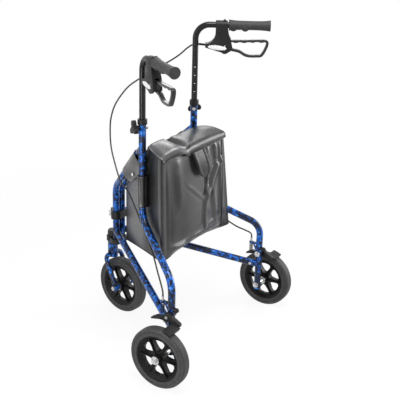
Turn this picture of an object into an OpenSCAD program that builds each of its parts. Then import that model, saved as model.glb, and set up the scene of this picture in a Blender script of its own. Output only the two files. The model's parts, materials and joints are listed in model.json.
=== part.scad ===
// Three wheel rollator: two hinged side frames on a front column, a swivelling front
// wheel, two braked rear wheels, handles set by bolt holes and a hanging bag.
// Millimetres. X points forward, Y to the user's left, Z up, origin on the ground
// below the middle of the part.

/* [Side frames] */
// Angle of each side frame from straight back
spread_angle = 32.3; // [26:0.1:35]
// Middle plane to each hinge axis
hinge_y = 15.1; // [14.5:0.1:20]
// Hinge axis to handle post, along the side frame
post_reach = 231; // [220:1:250]
// Hinge axis to rear leg, along the side frame
leg_reach = 461; // [440:1:490]
// Outside diameter of the frame tubes
tube_d = 22.2; // [21:0.1:23]
// Wall of the frame tubes
tube_wall = 1.6; // [1.2:0.1:2]
// Bend radius of the frame tubes, at the tube axis
bend_r = 60; // [45:1:70]
// Height where the upper rail meets the sleeve
rail_top_z = 647; // [630:1:660]
// Height of the bend from upper rail to hinge tube
rail_bend_z = 447; // [435:1:460]
// Height where the lower rail meets the hinge tube
low_rail_front_z = 290; // [286:1:296]
// Height where the lower rail meets the rear leg
low_rail_rear_z = 169; // [160:1:174]
// Top end of the sleeve tube
sleeve_top_z = 730; // [726:1:740]
// Height of the bend below the sleeve
sleeve_bend_z = 424; // [415:1:432]
// Height of the bend above the rear leg
leg_bend_z = 313; // [306:1:322]
// Lower end of the rear leg
leg_foot_z = 79; // [76:1:82]

/* [Wheels] */
// Outside diameter of the tyres
wheel_d = 190; // [186:1:194]
// Width of the tyres
tyre_w = 32; // [28:1:36]
// Radius where tyre meets rim
rim_r = 72; // [68:1:76]
// Width of the hub with its bearings
hub_w = 50; // [46:1:52]
// Number of spokes
spoke_count = 6; // [5:1:7]
// Rear leg axis to the middle of its wheel
wheel_offset = 57; // [55:1:62]
// Axle bolt diameter
axle_d = 8; // [7:0.5:9]

/* [Front column] */
// Swivel axis in front of the hinge axes
stem_ahead = 27; // [26:0.5:32]
// Swivel axis to the front axle
trail = 46; // [40:1:50]
// Angle the front wheel is turned to the left
caster_turn = -6.6; // [-20:0.1:20]
// Outside diameter of the head tube
head_d = 34; // [32:0.5:36]
// Lower end of the head tube
head_low_z = 207; // [206:0.5:212]
// Upper end of the head tube
head_top_z = 262; // [258:1:266]
// Swivel stem diameter
stem_d = 22; // [18:0.5:23]
// Fork tube diameter
fork_d = 16; // [14:0.5:17]
// Lower face of the upper hinge block
upper_block_z = 335; // [330:1:340]
// Height of the upper hinge block
upper_block_h = 26; // [24:1:34]
// Height of the lower hinge block
lower_block_h = 16; // [14:1:20]

/* [Handles] */
// Height of the grip axis at the photographed right setting
grip_z = 972; // [950:1:990]
// Outside diameter of the handle post
post_d = 18.9; // [17.5:0.1:18.9]
// Wall of the handle post
post_wall = 1.5; // [1.2:0.1:2]
// Bend radius of the handle post, at its axis
post_bend_r = 43; // [36:1:50]
// Post axis to the far end of the grip
grip_end = 228; // [218:1:240]
// Length of the grip
grip_len = 127; // [115:1:130]
// Grip diameter at its ends
grip_d = 34; // [31:0.5:36]
// Distance between the height holes
hole_pitch = 26; // [24:0.5:27]
// Number of height holes
hole_count = 7; // [5:1:7]
// Height of the clamp bolt in the sleeve
clamp_z = 709; // [704:1:711]
// Holes by which the left handle is set lower than the right
left_drop_holes = 2; // [0:1:4]
// Thickness of the brake housing
housing_w = 28; // [25:0.5:31]
// Thickness of the loop lever
lever_w = 12; // [10:0.5:13]

/* [Brakes] */
// Height of the brake arm pivot on the leg
arm_pivot_z = 210; // [206:1:214]
// Running gap between brake shoe and tyre at rest
shoe_gap = 3; // [2.8:0.1:3.6]
// Cable bracket in front of the leg axis
anchor_ahead = 31; // [29:0.5:33]
// Outside diameter of the return spring
spring_d = 12; // [10:0.5:12]
// Wire of the return spring
spring_wire = 1.8; // [1.4:0.1:1.8]
// Turns of the return spring
spring_turns = 9; // [6:1:9]
// Brake cable diameter
cable_d = 5; // [4:0.5:5]

/* [Bag] */
// Height of the bag's rear top edge
bag_top_z = 640; // [620:1:650]
// Height of the bag's bottom in the middle
bag_bottom_z = 314; // [306:1:320]
// Bag's rear panel behind the hinge axes
bag_rear = 303; // [290:1:306]
// Bag's front panel behind the hinge axes
bag_front = 48; // [44:1:60]
// Thickness of the bag's fabric
bag_wall = 3; // [2:0.5:4]

/* [Hidden] */
$fn = 64;
overrun = 1;
run_gap = 0.05;
seat_gap = 0.3;
weld_gap = 0.1;
bead = 0.8;
bead_rise = 0.08;
tube_r = tube_d / 2;
sleeve_bore_r = tube_r - tube_wall;
wheel_r = wheel_d / 2;
blue = "royalblue";
zinc = "silver";
black = [0.12, 0.12, 0.13];
rubber = [0.22, 0.22, 0.23];
bag_grey = [0.3, 0.3, 0.31];

// The part is centred between the front of the front tyre and the backs of the rear tyres
tyre_shoulder_r = 7;
front_reach = stem_ahead + (wheel_r - tyre_shoulder_r - trail) * cos(caster_turn)
    + (tyre_w / 2 - tyre_shoulder_r) * abs(sin(caster_turn)) + tyre_shoulder_r;
rear_reach = leg_reach * cos(spread_angle) + wheel_r;
hinge_x = (rear_reach - front_reach) / 2;
leg_x = hinge_x - leg_reach * cos(spread_angle);
leg_y = hinge_y + leg_reach * sin(spread_angle);
stem_x = hinge_x + stem_ahead;

// Front column
front_foot_z = head_top_z - lower_block_h + tube_wall + run_gap;
hinge_boss_wall = 6;
hinge_boss_r = tube_r + hinge_boss_wall;
head_wall = 3.5;
head_boss_wall = 3.5;
head_boss_r = head_d / 2 + head_boss_wall;
lower_block_z = head_top_z - lower_block_h;
lobe_r = 14;
lobe_ahead = 17;
hinge_screw_d = 6;
hinge_screw_head_d = 10;
hinge_screw_head_h = 3.5;
hinge_screw_spread = 12;
hinge_screw_in_lobe = 7;
hinge_screw_ahead = lobe_ahead + hinge_screw_in_lobe;
bush_h = 10;
bush_flange = 1.7;
cap_wall = 2.5;
cap_h = 21;
stem_nut_h = 7;
stem_nut_d = 21;
stem_top_z = head_top_z + bush_flange + stem_nut_h + bush_flange;
crown_h = 17;
crown_r = 17;
crown_top_z = head_low_z - bush_flange - seat_gap;
fork_top_z = crown_top_z - crown_h / 2;
fork_gap = 2;
fork_eye_lip = 1;
fork_y = hub_w / 2 + fork_gap + fork_d / 2;
fork_bend_r = 15;
fork_eye_r = 12;
fork_len = norm([trail, fork_top_z - wheel_r]);
fork_rake = atan(trail / (fork_top_z - wheel_r));

// Wheels
hub_r = 16;
hub_end_r = 14;
bush_r = 11;
hub_flange_r = 13;
hub_flange = 1.5;
hub_bush_h = 11;
hub_inner_r = 7;
hub_half = hub_w / 2 - hub_flange;
rim_wall = 4;
rim_half = 15;
rim_depth = 14;
rim_inner_r = rim_r - rim_depth;
web_hub_half = 10;
web_rim_half = 6;
spoke_hub_w = 13;
spoke_rim_w = 10;
spoke_rib_w = 3;
spoke_rib_rise = 2.5;
window_in_r = 22;
window_margin = 1;
window_out_r = rim_inner_r - window_margin;
window_round_share = 0.55;
window_points = 20;
tyre_groove = 1.2;
tyre_crown = 1.5;
axle_head_d = 15;
axle_head_h = 5.5;
axle_washer_d = 19;
axle_washer_h = 1.8;
axle_nut_h = 7;
spacer_r = 8;

// Collar and clamp
collar_wall = 3.4;
collar_r = tube_r + collar_wall;
collar_h = 16;
collar_lip = 5;
clamp_d = 6;
clamp_clearance = 0.4;
clamp_hole_d = clamp_d + clamp_clearance;
clamp_head_d = 11;
clamp_head_h = 5;
knob_hub_r = 8;
knob_hub_h = 8;
knob_wing_h = 12;
knob_wing_r = 24;
knob_lobes = 3;
knob_waist_share = 0.4;
knob_tilt = 12;
knob_points = 48;

// Handles, measured from the crossing of post axis and grip axis
post_low_z = 600;
post_low = post_low_z - grip_z;
post_lowest_hole = clamp_z - grip_z - hole_pitch;
grip_start = grip_end - grip_len;
grip_wall_end = 4;
grip_ridge_r = 13;
grip_ridge_from = 14;
grip_ridge_drop = 6;
grip_ridge_pitch = 36;
grip_ridge_count = 2;
housing_gap = 4;
housing_len = 36;
housing_wall = 4.5;
housing_back = grip_start - housing_gap;
housing_front = housing_back - housing_len;
housing_clamp_r = post_d / 2 + housing_wall;
lever_pin_u = 90;
lever_pin_w = -63;
lever_pin_d = 5;
lever_root_r = 11;
lever_play = 0.5;
lever_slot = lever_w + 2 * lever_play;
lever_bar = 8;
lever_wave = 1.6;
lever_wave_pitch = 26;
lever_round_steps = 7;
adjuster_r = 3.4;
adjuster_len = 31;
pinch_r = 4;
pinch_in = 9;
pinch_len = 17;
nose_u = 30;
nose_w = -63;
cable_side = 13.5;

// Brakes, measured from the leg axis at the height of the arm pivot
arm_play = 0.6;
arm_side = tube_r + arm_play;
arm_w = 13;
pivot_bolt_d = 6;
pivot_boss_r = 13;
arm_tip = 56;
arm_tip_drop = 20;
arm_front_h = 9;
arm_seat_drop = 4;
arm_heel = 34;
arm_heel_drop = 15;
arm_heel_r = 10;
shoe_start_angle = 11;
shoe_sweep = 16;
shoe_thick = 9;
shoe_margin = 1;
shoe_len = wheel_offset + tyre_w / 2 - arm_side - arm_w - shoe_margin;
shoe_tooth_count = 5;
shoe_tooth = 1.6;
anchor_z = 240;
anchor_h = 6;
anchor_ring_r = 7;
anchor_arm_w = 8;
anchor_strut = 5;
anchor_strut_drop = 26;
ferrule_r = 3.6;
ferrule_neck_r = 2.6;
ferrule_h = 20;
buffer_z = 227;
buffer_r = 7;
buffer_len = 13;
rivet_back = 30;
rivet_d = 5;
rivet_head_d = 9;
rivet_head_h = 2.2;

// Bag
bag_side_gap = 20;
bag_round = 14;
bag_slope_top_z = 492;
bag_slope_top = 60;
bag_lean = 14;
bag_front_drop = 36;
bag_ridge = 205;
bag_ridge_rise = 8;
bag_corner_lift = 14;
bag_corner = 26;
bag_arc_steps = 5;
bag_sag_points = 8;
bag_mouth_margin = 16;
bag_mouth_lip = 10;
flap_front = 222;
flap_gap = 0.6;
flap_wall = 3;
flap_drop = 16;
flap_wave = 4;
flap_margin = 6;
flap_points = 24;
tab_w = 66;
tab_len = 66;
tab_stand = 14;
tab_y = -18;
strap_low_z = 462;
strap_h = 99;
strap_wall = 3;
strap_tab_w = 12;
wrap_start = 130;
wrap_len = 130;

// Cable routes in side frame places: back from the hinge, inboard, up. Each upper stretch is
// counted from the grip axis of its handle, the bights and the shared lower stretch from the ground.
cable_upper_left = [[241, 13.5, -63], [222, 13.5, -62], [192, 9, -74], [124, 0, -112], [72, -6, -152]];
cable_upper_right = [
    [241, -13.5, -63], [224, -13.5, -65], [205, -13, -77], [183, -12.7, -97], [156, -12.5, -116],
    [122, -12, -136], [91, -12, -158]];
cable_bight_left = [
    [26, -10, 725], [0, -12, 686], [-11, -13, 651], [-8, -14, 602], [10, -15, 566], [48, -15, 523],
    [66, -15, 507]];
cable_bight_right = [
    [74, -12, 786], [66.5, -12, 750], [65.5, -12, 710], [66, -12.5, 670], [64, -13, 625],
    [61, -14, 578], [62, -15, 541], [70, -15, 513]];
cable_lower = [
    [84, -15, 493], [130, -6, 472], [187, -2, 432], [253, -2, 392], [322, -3, 346], [376, -8, 306],
    [408, -12.5, 289], [428, -15.6, 278], [434.5, -16.5, 269], [434.8, -16.6, 260.4]];
cable_steps = 2;
cable_sides = 8;
spring_rings = 8;
spring_sides = 6;

// Placing

// Puts a left-hand piece on the left (side 1) or mirrored on the right (side -1)
module on_side(side) {
    if (side > 0) children();
    else mirror([0, 1, 0]) children();
}

// Side frame: X back along the frame, Y inboard, Z up, from the hinge axis
module on_frame(side) {
    on_side(side) translate([hinge_x, hinge_y, 0]) rotate([0, 0, 180 - spread_angle]) children();
}

// Rear leg: X forward, Y outboard, Z up, from the leg axis on the ground
module on_leg(side) {
    on_side(side) translate([leg_x, leg_y, 0]) children();
}

// Height by which a handle is set below the right one
function handle_drop(side) = side > 0 ? left_drop_holes * hole_pitch : 0;

// Handle: X back along the grip, Y inboard, Z up, from the crossing of post and grip axes
module on_handle(side) {
    on_frame(side) translate([post_reach, 0, grip_z - handle_drop(side)]) children();
}

// Front fork: X forward, Y left, Z up, from the swivel axis on the ground
module on_fork() {
    translate([stem_x, 0, 0]) rotate([0, 0, caster_turn]) children();
}

// Cylinder along Y from y to y + h
module y_rod(r, y, h) {
    translate([0, y, 0]) rotate([-90, 0, 0]) cylinder(r = r, h = h);
}

// Hexagon prism along Y from y to y + h, d across its corners
module y_hex(d, y, h) {
    translate([0, y, 0]) rotate([-90, 0, 0]) cylinder(d = d, h = h, $fn = 6);
}

// Bent rod in the XZ plane through places given as [x, z], with one bend radius
function unit(v) = v / norm(v);
function turn(a, b, c) = acos(max(-1, min(1, unit(b - a) * unit(c - b))));
function set_back(p, i, r) =
    i == 0 || i == len(p) - 1 ? 0 : r * tan(turn(p[i - 1], p[i], p[i + 1]) / 2);

module bent_rod(p, r, d) {
    for (i = [0 : len(p) - 2]) {
        way = unit(p[i + 1] - p[i]);
        from = p[i] + way * set_back(p, i, r);
        span = norm(p[i + 1] - from) - set_back(p, i + 1, r);
        translate([from.x, 0, from.y]) rotate([0, atan2(way.x, way.y), 0]) cylinder(d = d, h = span);
    }
    for (i = [1 : 1 : len(p) - 2]) bend_place(p, i, r)
        rotate_extrude(angle = turn(p[i - 1], p[i], p[i + 1])) translate([r, 0]) circle(d = d);
}

// Turns the XY plane onto the bend at a place of the path, starting along X from its centre
module bend_place(p, i, r) {
    way_in = unit(p[i] - p[i - 1]);
    way_out = unit(p[i + 1] - p[i]);
    left = way_in.x * way_out.y - way_in.y * way_out.x > 0 ? 1 : -1;
    centre = p[i] - way_in * set_back(p, i, r) + left * r * [-way_in.y, way_in.x];
    first = left > 0 ? p[i] - way_in * set_back(p, i, r) : p[i] + way_out * set_back(p, i, r);
    translate([centre.x, 0, centre.y]) rotate([90, 0, 0])
        rotate([0, 0, atan2(first.y - centre.y, first.x - centre.x)]) children();
}

// Tube along the same path: hollow straights and bends, joined by faint bend marks
module bent_tube(p, r, d, wall) {
    bore = d - 2 * wall;
    for (i = [0 : len(p) - 2]) {
        way = unit(p[i + 1] - p[i]);
        from = p[i] + way * set_back(p, i, r);
        span = norm(p[i + 1] - from) - set_back(p, i + 1, r);
        translate([from.x, 0, from.y]) rotate([0, atan2(way.x, way.y), 0]) linear_extrude(span)
            ring(d, bore);
    }
    for (i = [1 : 1 : len(p) - 2]) {
        bend_place(p, i, r)
            rotate_extrude(angle = turn(p[i - 1], p[i], p[i + 1])) translate([r, 0]) ring(d, bore);
        for (k = [0, 1]) {
            way = unit(p[i + k] - p[i + k - 1]);
            at = p[i] + (2 * k - 1) * way * set_back(p, i, r);
            translate([at.x, 0, at.y]) rotate([0, atan2(way.x, way.y), 0]) translate([0, 0, -bead / 2])
                linear_extrude(bead) ring(d + 2 * bead_rise, bore - bead_rise);
        }
    }
}

module ring(d, bore) {
    difference() {
        circle(d = d);
        circle(d = bore);
    }
}

// Tube swept along places by Catmull-Rom steps
function spline(p, steps) = let (n = len(p) - 1) concat([
    for (i = [0 : n - 1], k = [0 : steps - 1])
        let (t = k / steps, a = p[max(i - 1, 0)], b = p[i], c = p[i + 1], d = p[min(i + 2, n)])
            (2 * b + (c - a) * t + (2 * a - 5 * b + 4 * c - d) * t * t
                + (3 * b - a - 3 * c + d) * t * t * t) / 2],
    [p[n]]);
function along(p, i) = unit(p[min(i + 1, len(p) - 1)] - p[max(i - 1, 0)]);
function square_to(w, from) = unit(from - (from * w) * w);
function carried(p, i) =
    i == 0 ? square_to(along(p, 0), [0, 1, 0]) : square_to(along(p, i), carried(p, i - 1));

module swept(p, r, sides) {
    n = len(p);
    rings = [
        for (i = [0 : n - 1])
            let (u = carried(p, i), v = cross(along(p, i), u))
                for (k = [0 : sides - 1]) p[i] + r * (u * cos(360 * k / sides) + v * sin(360 * k / sides))];
    walls = [
        for (i = [0 : n - 2], k = [0 : sides - 1])
            let (a = i * sides + k, b = i * sides + (k + 1) % sides)
                each [[a, a + sides, b], [b, a + sides, b + sides]]];
    low = [for (k = [1 : sides - 2]) [0, k, k + 1]];
    last = (n - 1) * sides;
    high = [for (k = [1 : sides - 2]) [last, last + k + 1, last + k]];
    polyhedron(rings, concat(walls, low, high));
}

// Front column

module hinge_plan(with_head) {
    for (s = [-1, 1]) translate([0, s * hinge_y]) circle(r = hinge_boss_r);
    translate([-hinge_boss_r, -hinge_y]) square([2 * hinge_boss_r, 2 * hinge_y]);
    reach = with_head ? stem_ahead : lobe_ahead;
    lobe = with_head ? head_boss_r : lobe_r;
    translate([reach, 0]) circle(r = lobe);
    polygon([[0, -hinge_y - hinge_boss_r], [reach, -lobe], [reach, lobe], [0, hinge_y + hinge_boss_r]]);
}

module upper_hinge_block() {
    color(black) translate([hinge_x, 0, upper_block_z]) difference() {
        linear_extrude(upper_block_h) hinge_plan(false);
        for (s = [-1, 1])
            translate([0, s * hinge_y, -overrun])
                cylinder(r = tube_r + run_gap, h = upper_block_h + 2 * overrun);
        hinge_screw_places() y_rod(hinge_screw_d / 2 + run_gap, -hinge_boss_r * 2, hinge_boss_r * 4);
    }
}

module hinge_screw_places() {
    for (s = [-1, 1])
        translate([hinge_screw_ahead, 0, upper_block_h / 2 + s * hinge_screw_spread / 2]) children();
}

module hinge_screws() {
    seat = lobe_r + seat_gap;
    color(zinc) translate([hinge_x, 0, upper_block_z]) hinge_screw_places() {
        y_rod(hinge_screw_d / 2, -seat, 2 * seat);
        y_rod(hinge_screw_head_d / 2, seat, hinge_screw_head_h);
        y_hex(hinge_screw_head_d, -seat - hinge_screw_head_h, hinge_screw_head_h);
    }
}

module lower_hinge_block() {
    color(black) translate([hinge_x, 0, lower_block_z]) difference() {
        linear_extrude(lower_block_h) hinge_plan(true);
        for (s = [-1, 1]) translate([0, s * hinge_y, 0]) {
            translate([0, 0, tube_wall]) cylinder(r = tube_r + run_gap, h = lower_block_h);
            translate([0, 0, -overrun]) cylinder(r = sleeve_bore_r, h = lower_block_h);
        }
        translate([stem_ahead, 0, -overrun])
            cylinder(d = head_d + 2 * run_gap, h = lower_block_h + 2 * overrun);
    }
}

module head_tube() {
    color(blue) translate([stem_x, 0, head_low_z]) difference() {
        cylinder(d = head_d, h = head_top_z - head_low_z);
        translate([0, 0, -overrun])
            cylinder(d = head_d - 2 * head_wall, h = head_top_z - head_low_z + 2 * overrun);
    }
}

module stem_bushes() {
    inside = head_d / 2 - head_wall - run_gap;
    color(zinc) translate([stem_x, 0, 0]) for (up = [0, 1])
        translate([0, 0, up ? head_top_z : head_low_z]) mirror([0, 0, 1 - up]) difference() {
            union() {
                translate([0, 0, -bush_h]) cylinder(r = inside, h = bush_h);
                cylinder(d = head_d - 2 * cap_wall - 2 * seat_gap, h = bush_flange);
            }
            translate([0, 0, -bush_h - overrun])
                cylinder(d = stem_d + 2 * run_gap, h = bush_h + bush_flange + 2 * overrun);
        }
}

module stem_cap() {
    r = head_d / 2;
    color(black) translate([stem_x, 0, head_top_z]) rotate_extrude() difference() {
        union() {
            square([r, cap_h - r / 2]);
            translate([0, cap_h - r / 2]) intersection() {
                circle(r = r);
                square([r, r / 2]);
            }
        }
        translate([0, -overrun]) square([r - cap_wall, cap_h - r / 2 + overrun]);
    }
}

module fork() {
    u_path = [[-fork_y, -fork_len], [-fork_y, 0], [fork_y, 0], [fork_y, -fork_len]];
    color(blue) on_fork() difference() {
        union() {
            translate([0, 0, fork_top_z]) rotate([0, fork_rake, 0]) rotate([0, 0, 90])
                bent_rod(u_path, fork_bend_r, fork_d);
            translate([0, 0, crown_top_z - crown_h]) cylinder(r = crown_r, h = crown_h);
            translate([0, 0, crown_top_z - overrun])
                cylinder(d = stem_d, h = stem_top_z - crown_top_z + overrun);
            for (s = [-1, 1]) translate([-trail, 0, wheel_r])
                y_rod(fork_eye_r, s * fork_y - fork_d / 2 - fork_eye_lip, fork_d + 2 * fork_eye_lip);
        }
        translate([-trail, 0, wheel_r]) y_rod(axle_d / 2 + run_gap, -2 * fork_y, 4 * fork_y);
    }
}

module stem_nut() {
    color(zinc) on_fork() translate([0, 0, head_top_z + bush_flange + seat_gap]) difference() {
        cylinder(r = stem_d / 2 + cap_wall / 2, h = stem_nut_h);
        translate([0, 0, -overrun]) cylinder(d = stem_d + 2 * run_gap, h = stem_nut_h + 2 * overrun);
    }
}

module front_axle() {
    seat = fork_y + fork_d / 2 + fork_eye_lip;
    color(zinc) on_fork() translate([-trail, 0, wheel_r]) {
        y_rod(axle_d / 2, -seat - axle_nut_h, 2 * (seat + axle_nut_h));
        y_hex(axle_head_d, seat, axle_head_h);
        difference() {
            y_hex(axle_head_d, -seat - axle_nut_h, axle_nut_h);
            y_rod(axle_d / 2 - run_gap, -seat - axle_nut_h - overrun, axle_nut_h + 2 * overrun);
        }
    }
}

// Wheels, with the axle along Y

// Outline of one window between spokes: a superellipse in polar places
function rounded(v) = sign(v) * pow(abs(v), window_round_share);
function spoke_w(r) =
    spoke_hub_w + (spoke_rim_w - spoke_hub_w) * (r - window_in_r) / (window_out_r - window_in_r);
function window_outline() = [
    for (k = [0 : window_points - 1])
        let (t = 360 * k / window_points,
            r = (window_in_r + window_out_r) / 2 + (window_out_r - window_in_r) / 2 * rounded(cos(t)),
            a = (180 / spoke_count - asin(spoke_w(r) / 2 / r)) * rounded(sin(t)))
                r * [cos(a), sin(a)]];

module rim() {
    rotate([90, 0, 0]) difference() {
        rotate_extrude() {
            polygon([
                [hub_inner_r, -hub_half], [hub_end_r, -hub_half], [hub_r, -web_hub_half],
                [rim_inner_r, -web_rim_half], [rim_r - rim_wall, -rim_half], [rim_r, -rim_half],
                [rim_r, rim_half], [rim_r - rim_wall, rim_half], [rim_inner_r, web_rim_half],
                [hub_r, web_hub_half], [hub_end_r, hub_half], [hub_inner_r, hub_half]]);
        }
        for (s = [0, 1]) mirror([0, 0, s])
            translate([0, 0, hub_half - hub_bush_h]) cylinder(r = bush_r + run_gap, h = hub_bush_h + overrun);
        for (k = [0 : spoke_count - 1]) rotate([0, 0, (k + 0.5) * 360 / spoke_count])
            translate([0, 0, -rim_half]) linear_extrude(2 * rim_half) polygon(window_outline());
    }
    rib_from = hub_r - spoke_rib_w;
    rib_half = web_hub_half + spoke_rib_rise;
    for (k = [0 : spoke_count - 1]) rotate([90, 360 * k / spoke_count, 0])
        translate([rib_from, -spoke_rib_w / 2, -rib_half])
            cube([rim_r - rim_wall / 2 - rib_from, spoke_rib_w, 2 * rib_half]);
}

module tyre() {
    half = tyre_w / 2;
    seat = rim_r + run_gap;
    rotate([90, 0, 0]) rotate_extrude() difference() {
        union() {
            translate([seat, -half]) square([wheel_r - tyre_shoulder_r - seat, tyre_w]);
            for (s = [-1, 1]) translate([wheel_r - tyre_shoulder_r, s * (half - tyre_shoulder_r)])
                circle(r = tyre_shoulder_r);
            translate([seat, tyre_shoulder_r - half]) square([wheel_r - seat, tyre_w - 2 * tyre_shoulder_r]);
        }
        for (s = [-1, 1]) translate([(seat + wheel_r) / 2, s * half]) circle(r = tyre_groove);
    }
}

module hub_bushes() {
    rotate([90, 0, 0]) for (s = [0, 1]) mirror([0, 0, s]) translate([0, 0, hub_half]) difference() {
        union() {
            translate([0, 0, -hub_bush_h]) cylinder(r = bush_r, h = hub_bush_h);
            cylinder(r = hub_flange_r, h = hub_flange);
        }
        translate([0, 0, -hub_bush_h - overrun])
            cylinder(d = axle_d + 2 * run_gap, h = hub_bush_h + hub_flange + 2 * overrun);
    }
}

module at_front_wheel() {
    on_fork() translate([-trail, 0, wheel_r]) children();
}

module at_rear_wheel(side) {
    on_leg(side) translate([0, wheel_offset, wheel_r]) children();
}

module front_rim() { color(black) at_front_wheel() rim(); }
module front_tyre() { color(rubber) at_front_wheel() tyre(); }
module front_bushes() { color(zinc) at_front_wheel() hub_bushes(); }
module rear_rim(side) { color(black) at_rear_wheel(side) rim(); }
module rear_tyre(side) { color(rubber) at_rear_wheel(side) tyre(); }
module rear_bushes(side) { color(zinc) at_rear_wheel(side) hub_bushes(); }

// Side frames

rear_path = [
    [post_reach, sleeve_top_z], [post_reach, sleeve_bend_z],
    [leg_reach, leg_bend_z], [leg_reach, leg_foot_z]];
front_path = [[post_reach, rail_top_z], [0, rail_bend_z], [0, front_foot_z]];
low_rail_path = [[0, low_rail_front_z], [leg_reach, low_rail_rear_z]];

module rear_tube(side) {
    color(blue) difference() {
        on_frame(side) difference() {
            bent_tube(rear_path, bend_r, tube_d, tube_wall);
            translate([post_reach, 0, clamp_z]) y_rod(clamp_hole_d / 2, -tube_d, 2 * tube_d);
        }
        on_leg(side) {
            translate([0, 0, wheel_r]) y_rod(axle_d / 2 + run_gap, -tube_d, 2 * tube_d);
            translate([0, 0, arm_pivot_z]) y_rod(pivot_bolt_d / 2 + run_gap, -tube_d, 2 * tube_d);
        }
    }
}

// Cuts a rail's end to sit against an upright tube
module upright(at, from, to) {
    translate([at, 0, from]) cylinder(r = tube_r + weld_gap, h = to - from);
}

module front_tube(side) {
    color(blue) on_frame(side) difference() {
        bent_tube(front_path, bend_r, tube_d, tube_wall);
        upright(post_reach, rail_bend_z, sleeve_top_z);
    }
}

module rivet_place() {
    slope = atan((low_rail_front_z - low_rail_rear_z) / leg_reach);
    translate([leg_reach - rivet_back, 0, low_rail_rear_z + rivet_back * tan(slope)]) children();
}

module lower_rail(side) {
    color(blue) on_frame(side) difference() {
        bent_tube(low_rail_path, bend_r, tube_d, tube_wall);
        upright(0, front_foot_z, rail_bend_z);
        upright(leg_reach, leg_foot_z, leg_bend_z);
        rivet_place() y_rod(rivet_d / 2 + run_gap, -tube_d, 2 * tube_d);
    }
}

module sleeve_collar(side) {
    color(black) on_frame(side) translate([post_reach, 0, sleeve_top_z]) difference() {
        translate([0, 0, collar_lip - collar_h]) cylinder(r = collar_r, h = collar_h);
        translate([0, 0, collar_lip - collar_h - overrun])
            cylinder(r = tube_r + run_gap, h = collar_h - collar_lip + overrun);
        translate([0, 0, -overrun]) cylinder(r = sleeve_bore_r, h = collar_lip + 2 * overrun);
    }
}

// Clamp bolt through sleeve and post, with its head inboard
module clamp_bolt(side) {
    seat = tube_r + seat_gap;
    color(zinc) on_frame(side) translate([post_reach, 0, clamp_z]) {
        y_rod(clamp_d / 2, -seat - knob_hub_h, seat * 2 + knob_hub_h);
        y_hex(clamp_head_d, seat, clamp_head_h);
    }
}

function wing_outline() = [
    for (k = [0 : knob_points - 1])
        let (t = 360 * k / knob_points,
            r = knob_wing_r * (knob_waist_share + (1 - knob_waist_share) * pow(cos(knob_lobes * t / 2), 2)))
                r * [cos(t), sin(t)]];

module clamp_knob(side) {
    seat = tube_r + 2 * seat_gap;
    color(black) on_frame(side) translate([post_reach, -seat, clamp_z]) rotate([90, 0, 0])
        rotate([0, 0, 90 + knob_tilt]) difference() {
            union() {
                cylinder(r = knob_hub_r, h = knob_hub_h + knob_wing_h / 2);
                translate([0, 0, knob_hub_h]) linear_extrude(knob_wing_h) polygon(wing_outline());
            }
            translate([0, 0, -overrun]) cylinder(d = clamp_d + 2 * run_gap, h = knob_hub_h + overrun);
        }
}

module rear_axle(side) {
    inner = tube_r + seat_gap;
    hub_in = wheel_offset - hub_w / 2;
    hub_out = wheel_offset + hub_w / 2;
    tip = hub_out + axle_washer_h + axle_nut_h + 2 * seat_gap;
    color(zinc) on_leg(side) translate([0, 0, wheel_r]) {
        y_rod(axle_d / 2, -inner - axle_washer_h, tip + inner + axle_washer_h + overrun);
        y_rod(axle_washer_d / 2, -inner - axle_washer_h, axle_washer_h);
        y_hex(axle_head_d, -inner - axle_washer_h - axle_head_h, axle_head_h);
        difference() {
            y_rod(spacer_r, inner, hub_in - inner - seat_gap);
            y_rod(axle_d / 2 - run_gap, 0, hub_in);
        }
        y_rod(axle_washer_d / 2, hub_out + seat_gap, axle_washer_h);
        y_hex(axle_head_d, hub_out + seat_gap + axle_washer_h, axle_nut_h);
    }
}

// Rear brakes

module cable_bracket(side) {
    color(blue) on_leg(side) difference() {
        union() {
            translate([anchor_ahead, 0, anchor_z]) cylinder(r = anchor_ring_r, h = anchor_h);
            translate([0, -anchor_arm_w / 2, anchor_z]) cube([anchor_ahead, anchor_arm_w, anchor_h]);
            translate([0, anchor_strut / 2, anchor_z]) rotate([90, 0, 0]) linear_extrude(anchor_strut)
                polygon([
                    [anchor_ahead - anchor_ring_r, 0], [anchor_ahead - anchor_ring_r - anchor_strut, 0],
                    [0, anchor_strut - anchor_strut_drop], [0, -anchor_strut_drop],
                    [tube_r, -anchor_strut_drop]]);
        }
        translate([0, 0, arm_pivot_z]) cylinder(r = tube_r + weld_gap, h = leg_bend_z - arm_pivot_z);
        translate([anchor_ahead, 0, anchor_z - overrun])
            cylinder(r = ferrule_neck_r + run_gap, h = anchor_h + 2 * overrun);
    }
}

// Cable ferrule in its bracket, arm pivot bolt and rail rivet
module brake_hardware(side) {
    seat = tube_r + seat_gap;
    reach = arm_side + arm_w + seat_gap;
    color(zinc) {
        on_leg(side) {
            translate([anchor_ahead, 0, anchor_z]) difference() {
                union() {
                    cylinder(r = ferrule_neck_r, h = anchor_h + overrun);
                    translate([0, 0, anchor_h]) cylinder(r = ferrule_r, h = ferrule_h - anchor_h);
                }
                translate([0, 0, -overrun]) cylinder(d = cable_d / 2, h = ferrule_h + 2 * overrun);
            }
            translate([0, 0, arm_pivot_z]) {
                y_rod(pivot_bolt_d / 2, -seat, seat + reach);
                y_rod(axle_washer_d / 2, -seat - axle_washer_h, axle_washer_h);
                y_hex(hinge_screw_head_d, -seat - axle_washer_h - hinge_screw_head_h, hinge_screw_head_h);
                y_rod(hinge_screw_head_d / 2, reach, hinge_screw_head_h);
            }
        }
        on_frame(side) rivet_place() {
            y_rod(rivet_d / 2, -seat, 2 * seat);
            for (s = [0, 1]) mirror([0, s, 0]) y_rod(rivet_head_d / 2, seat, rivet_head_h);
        }
    }
}

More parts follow.
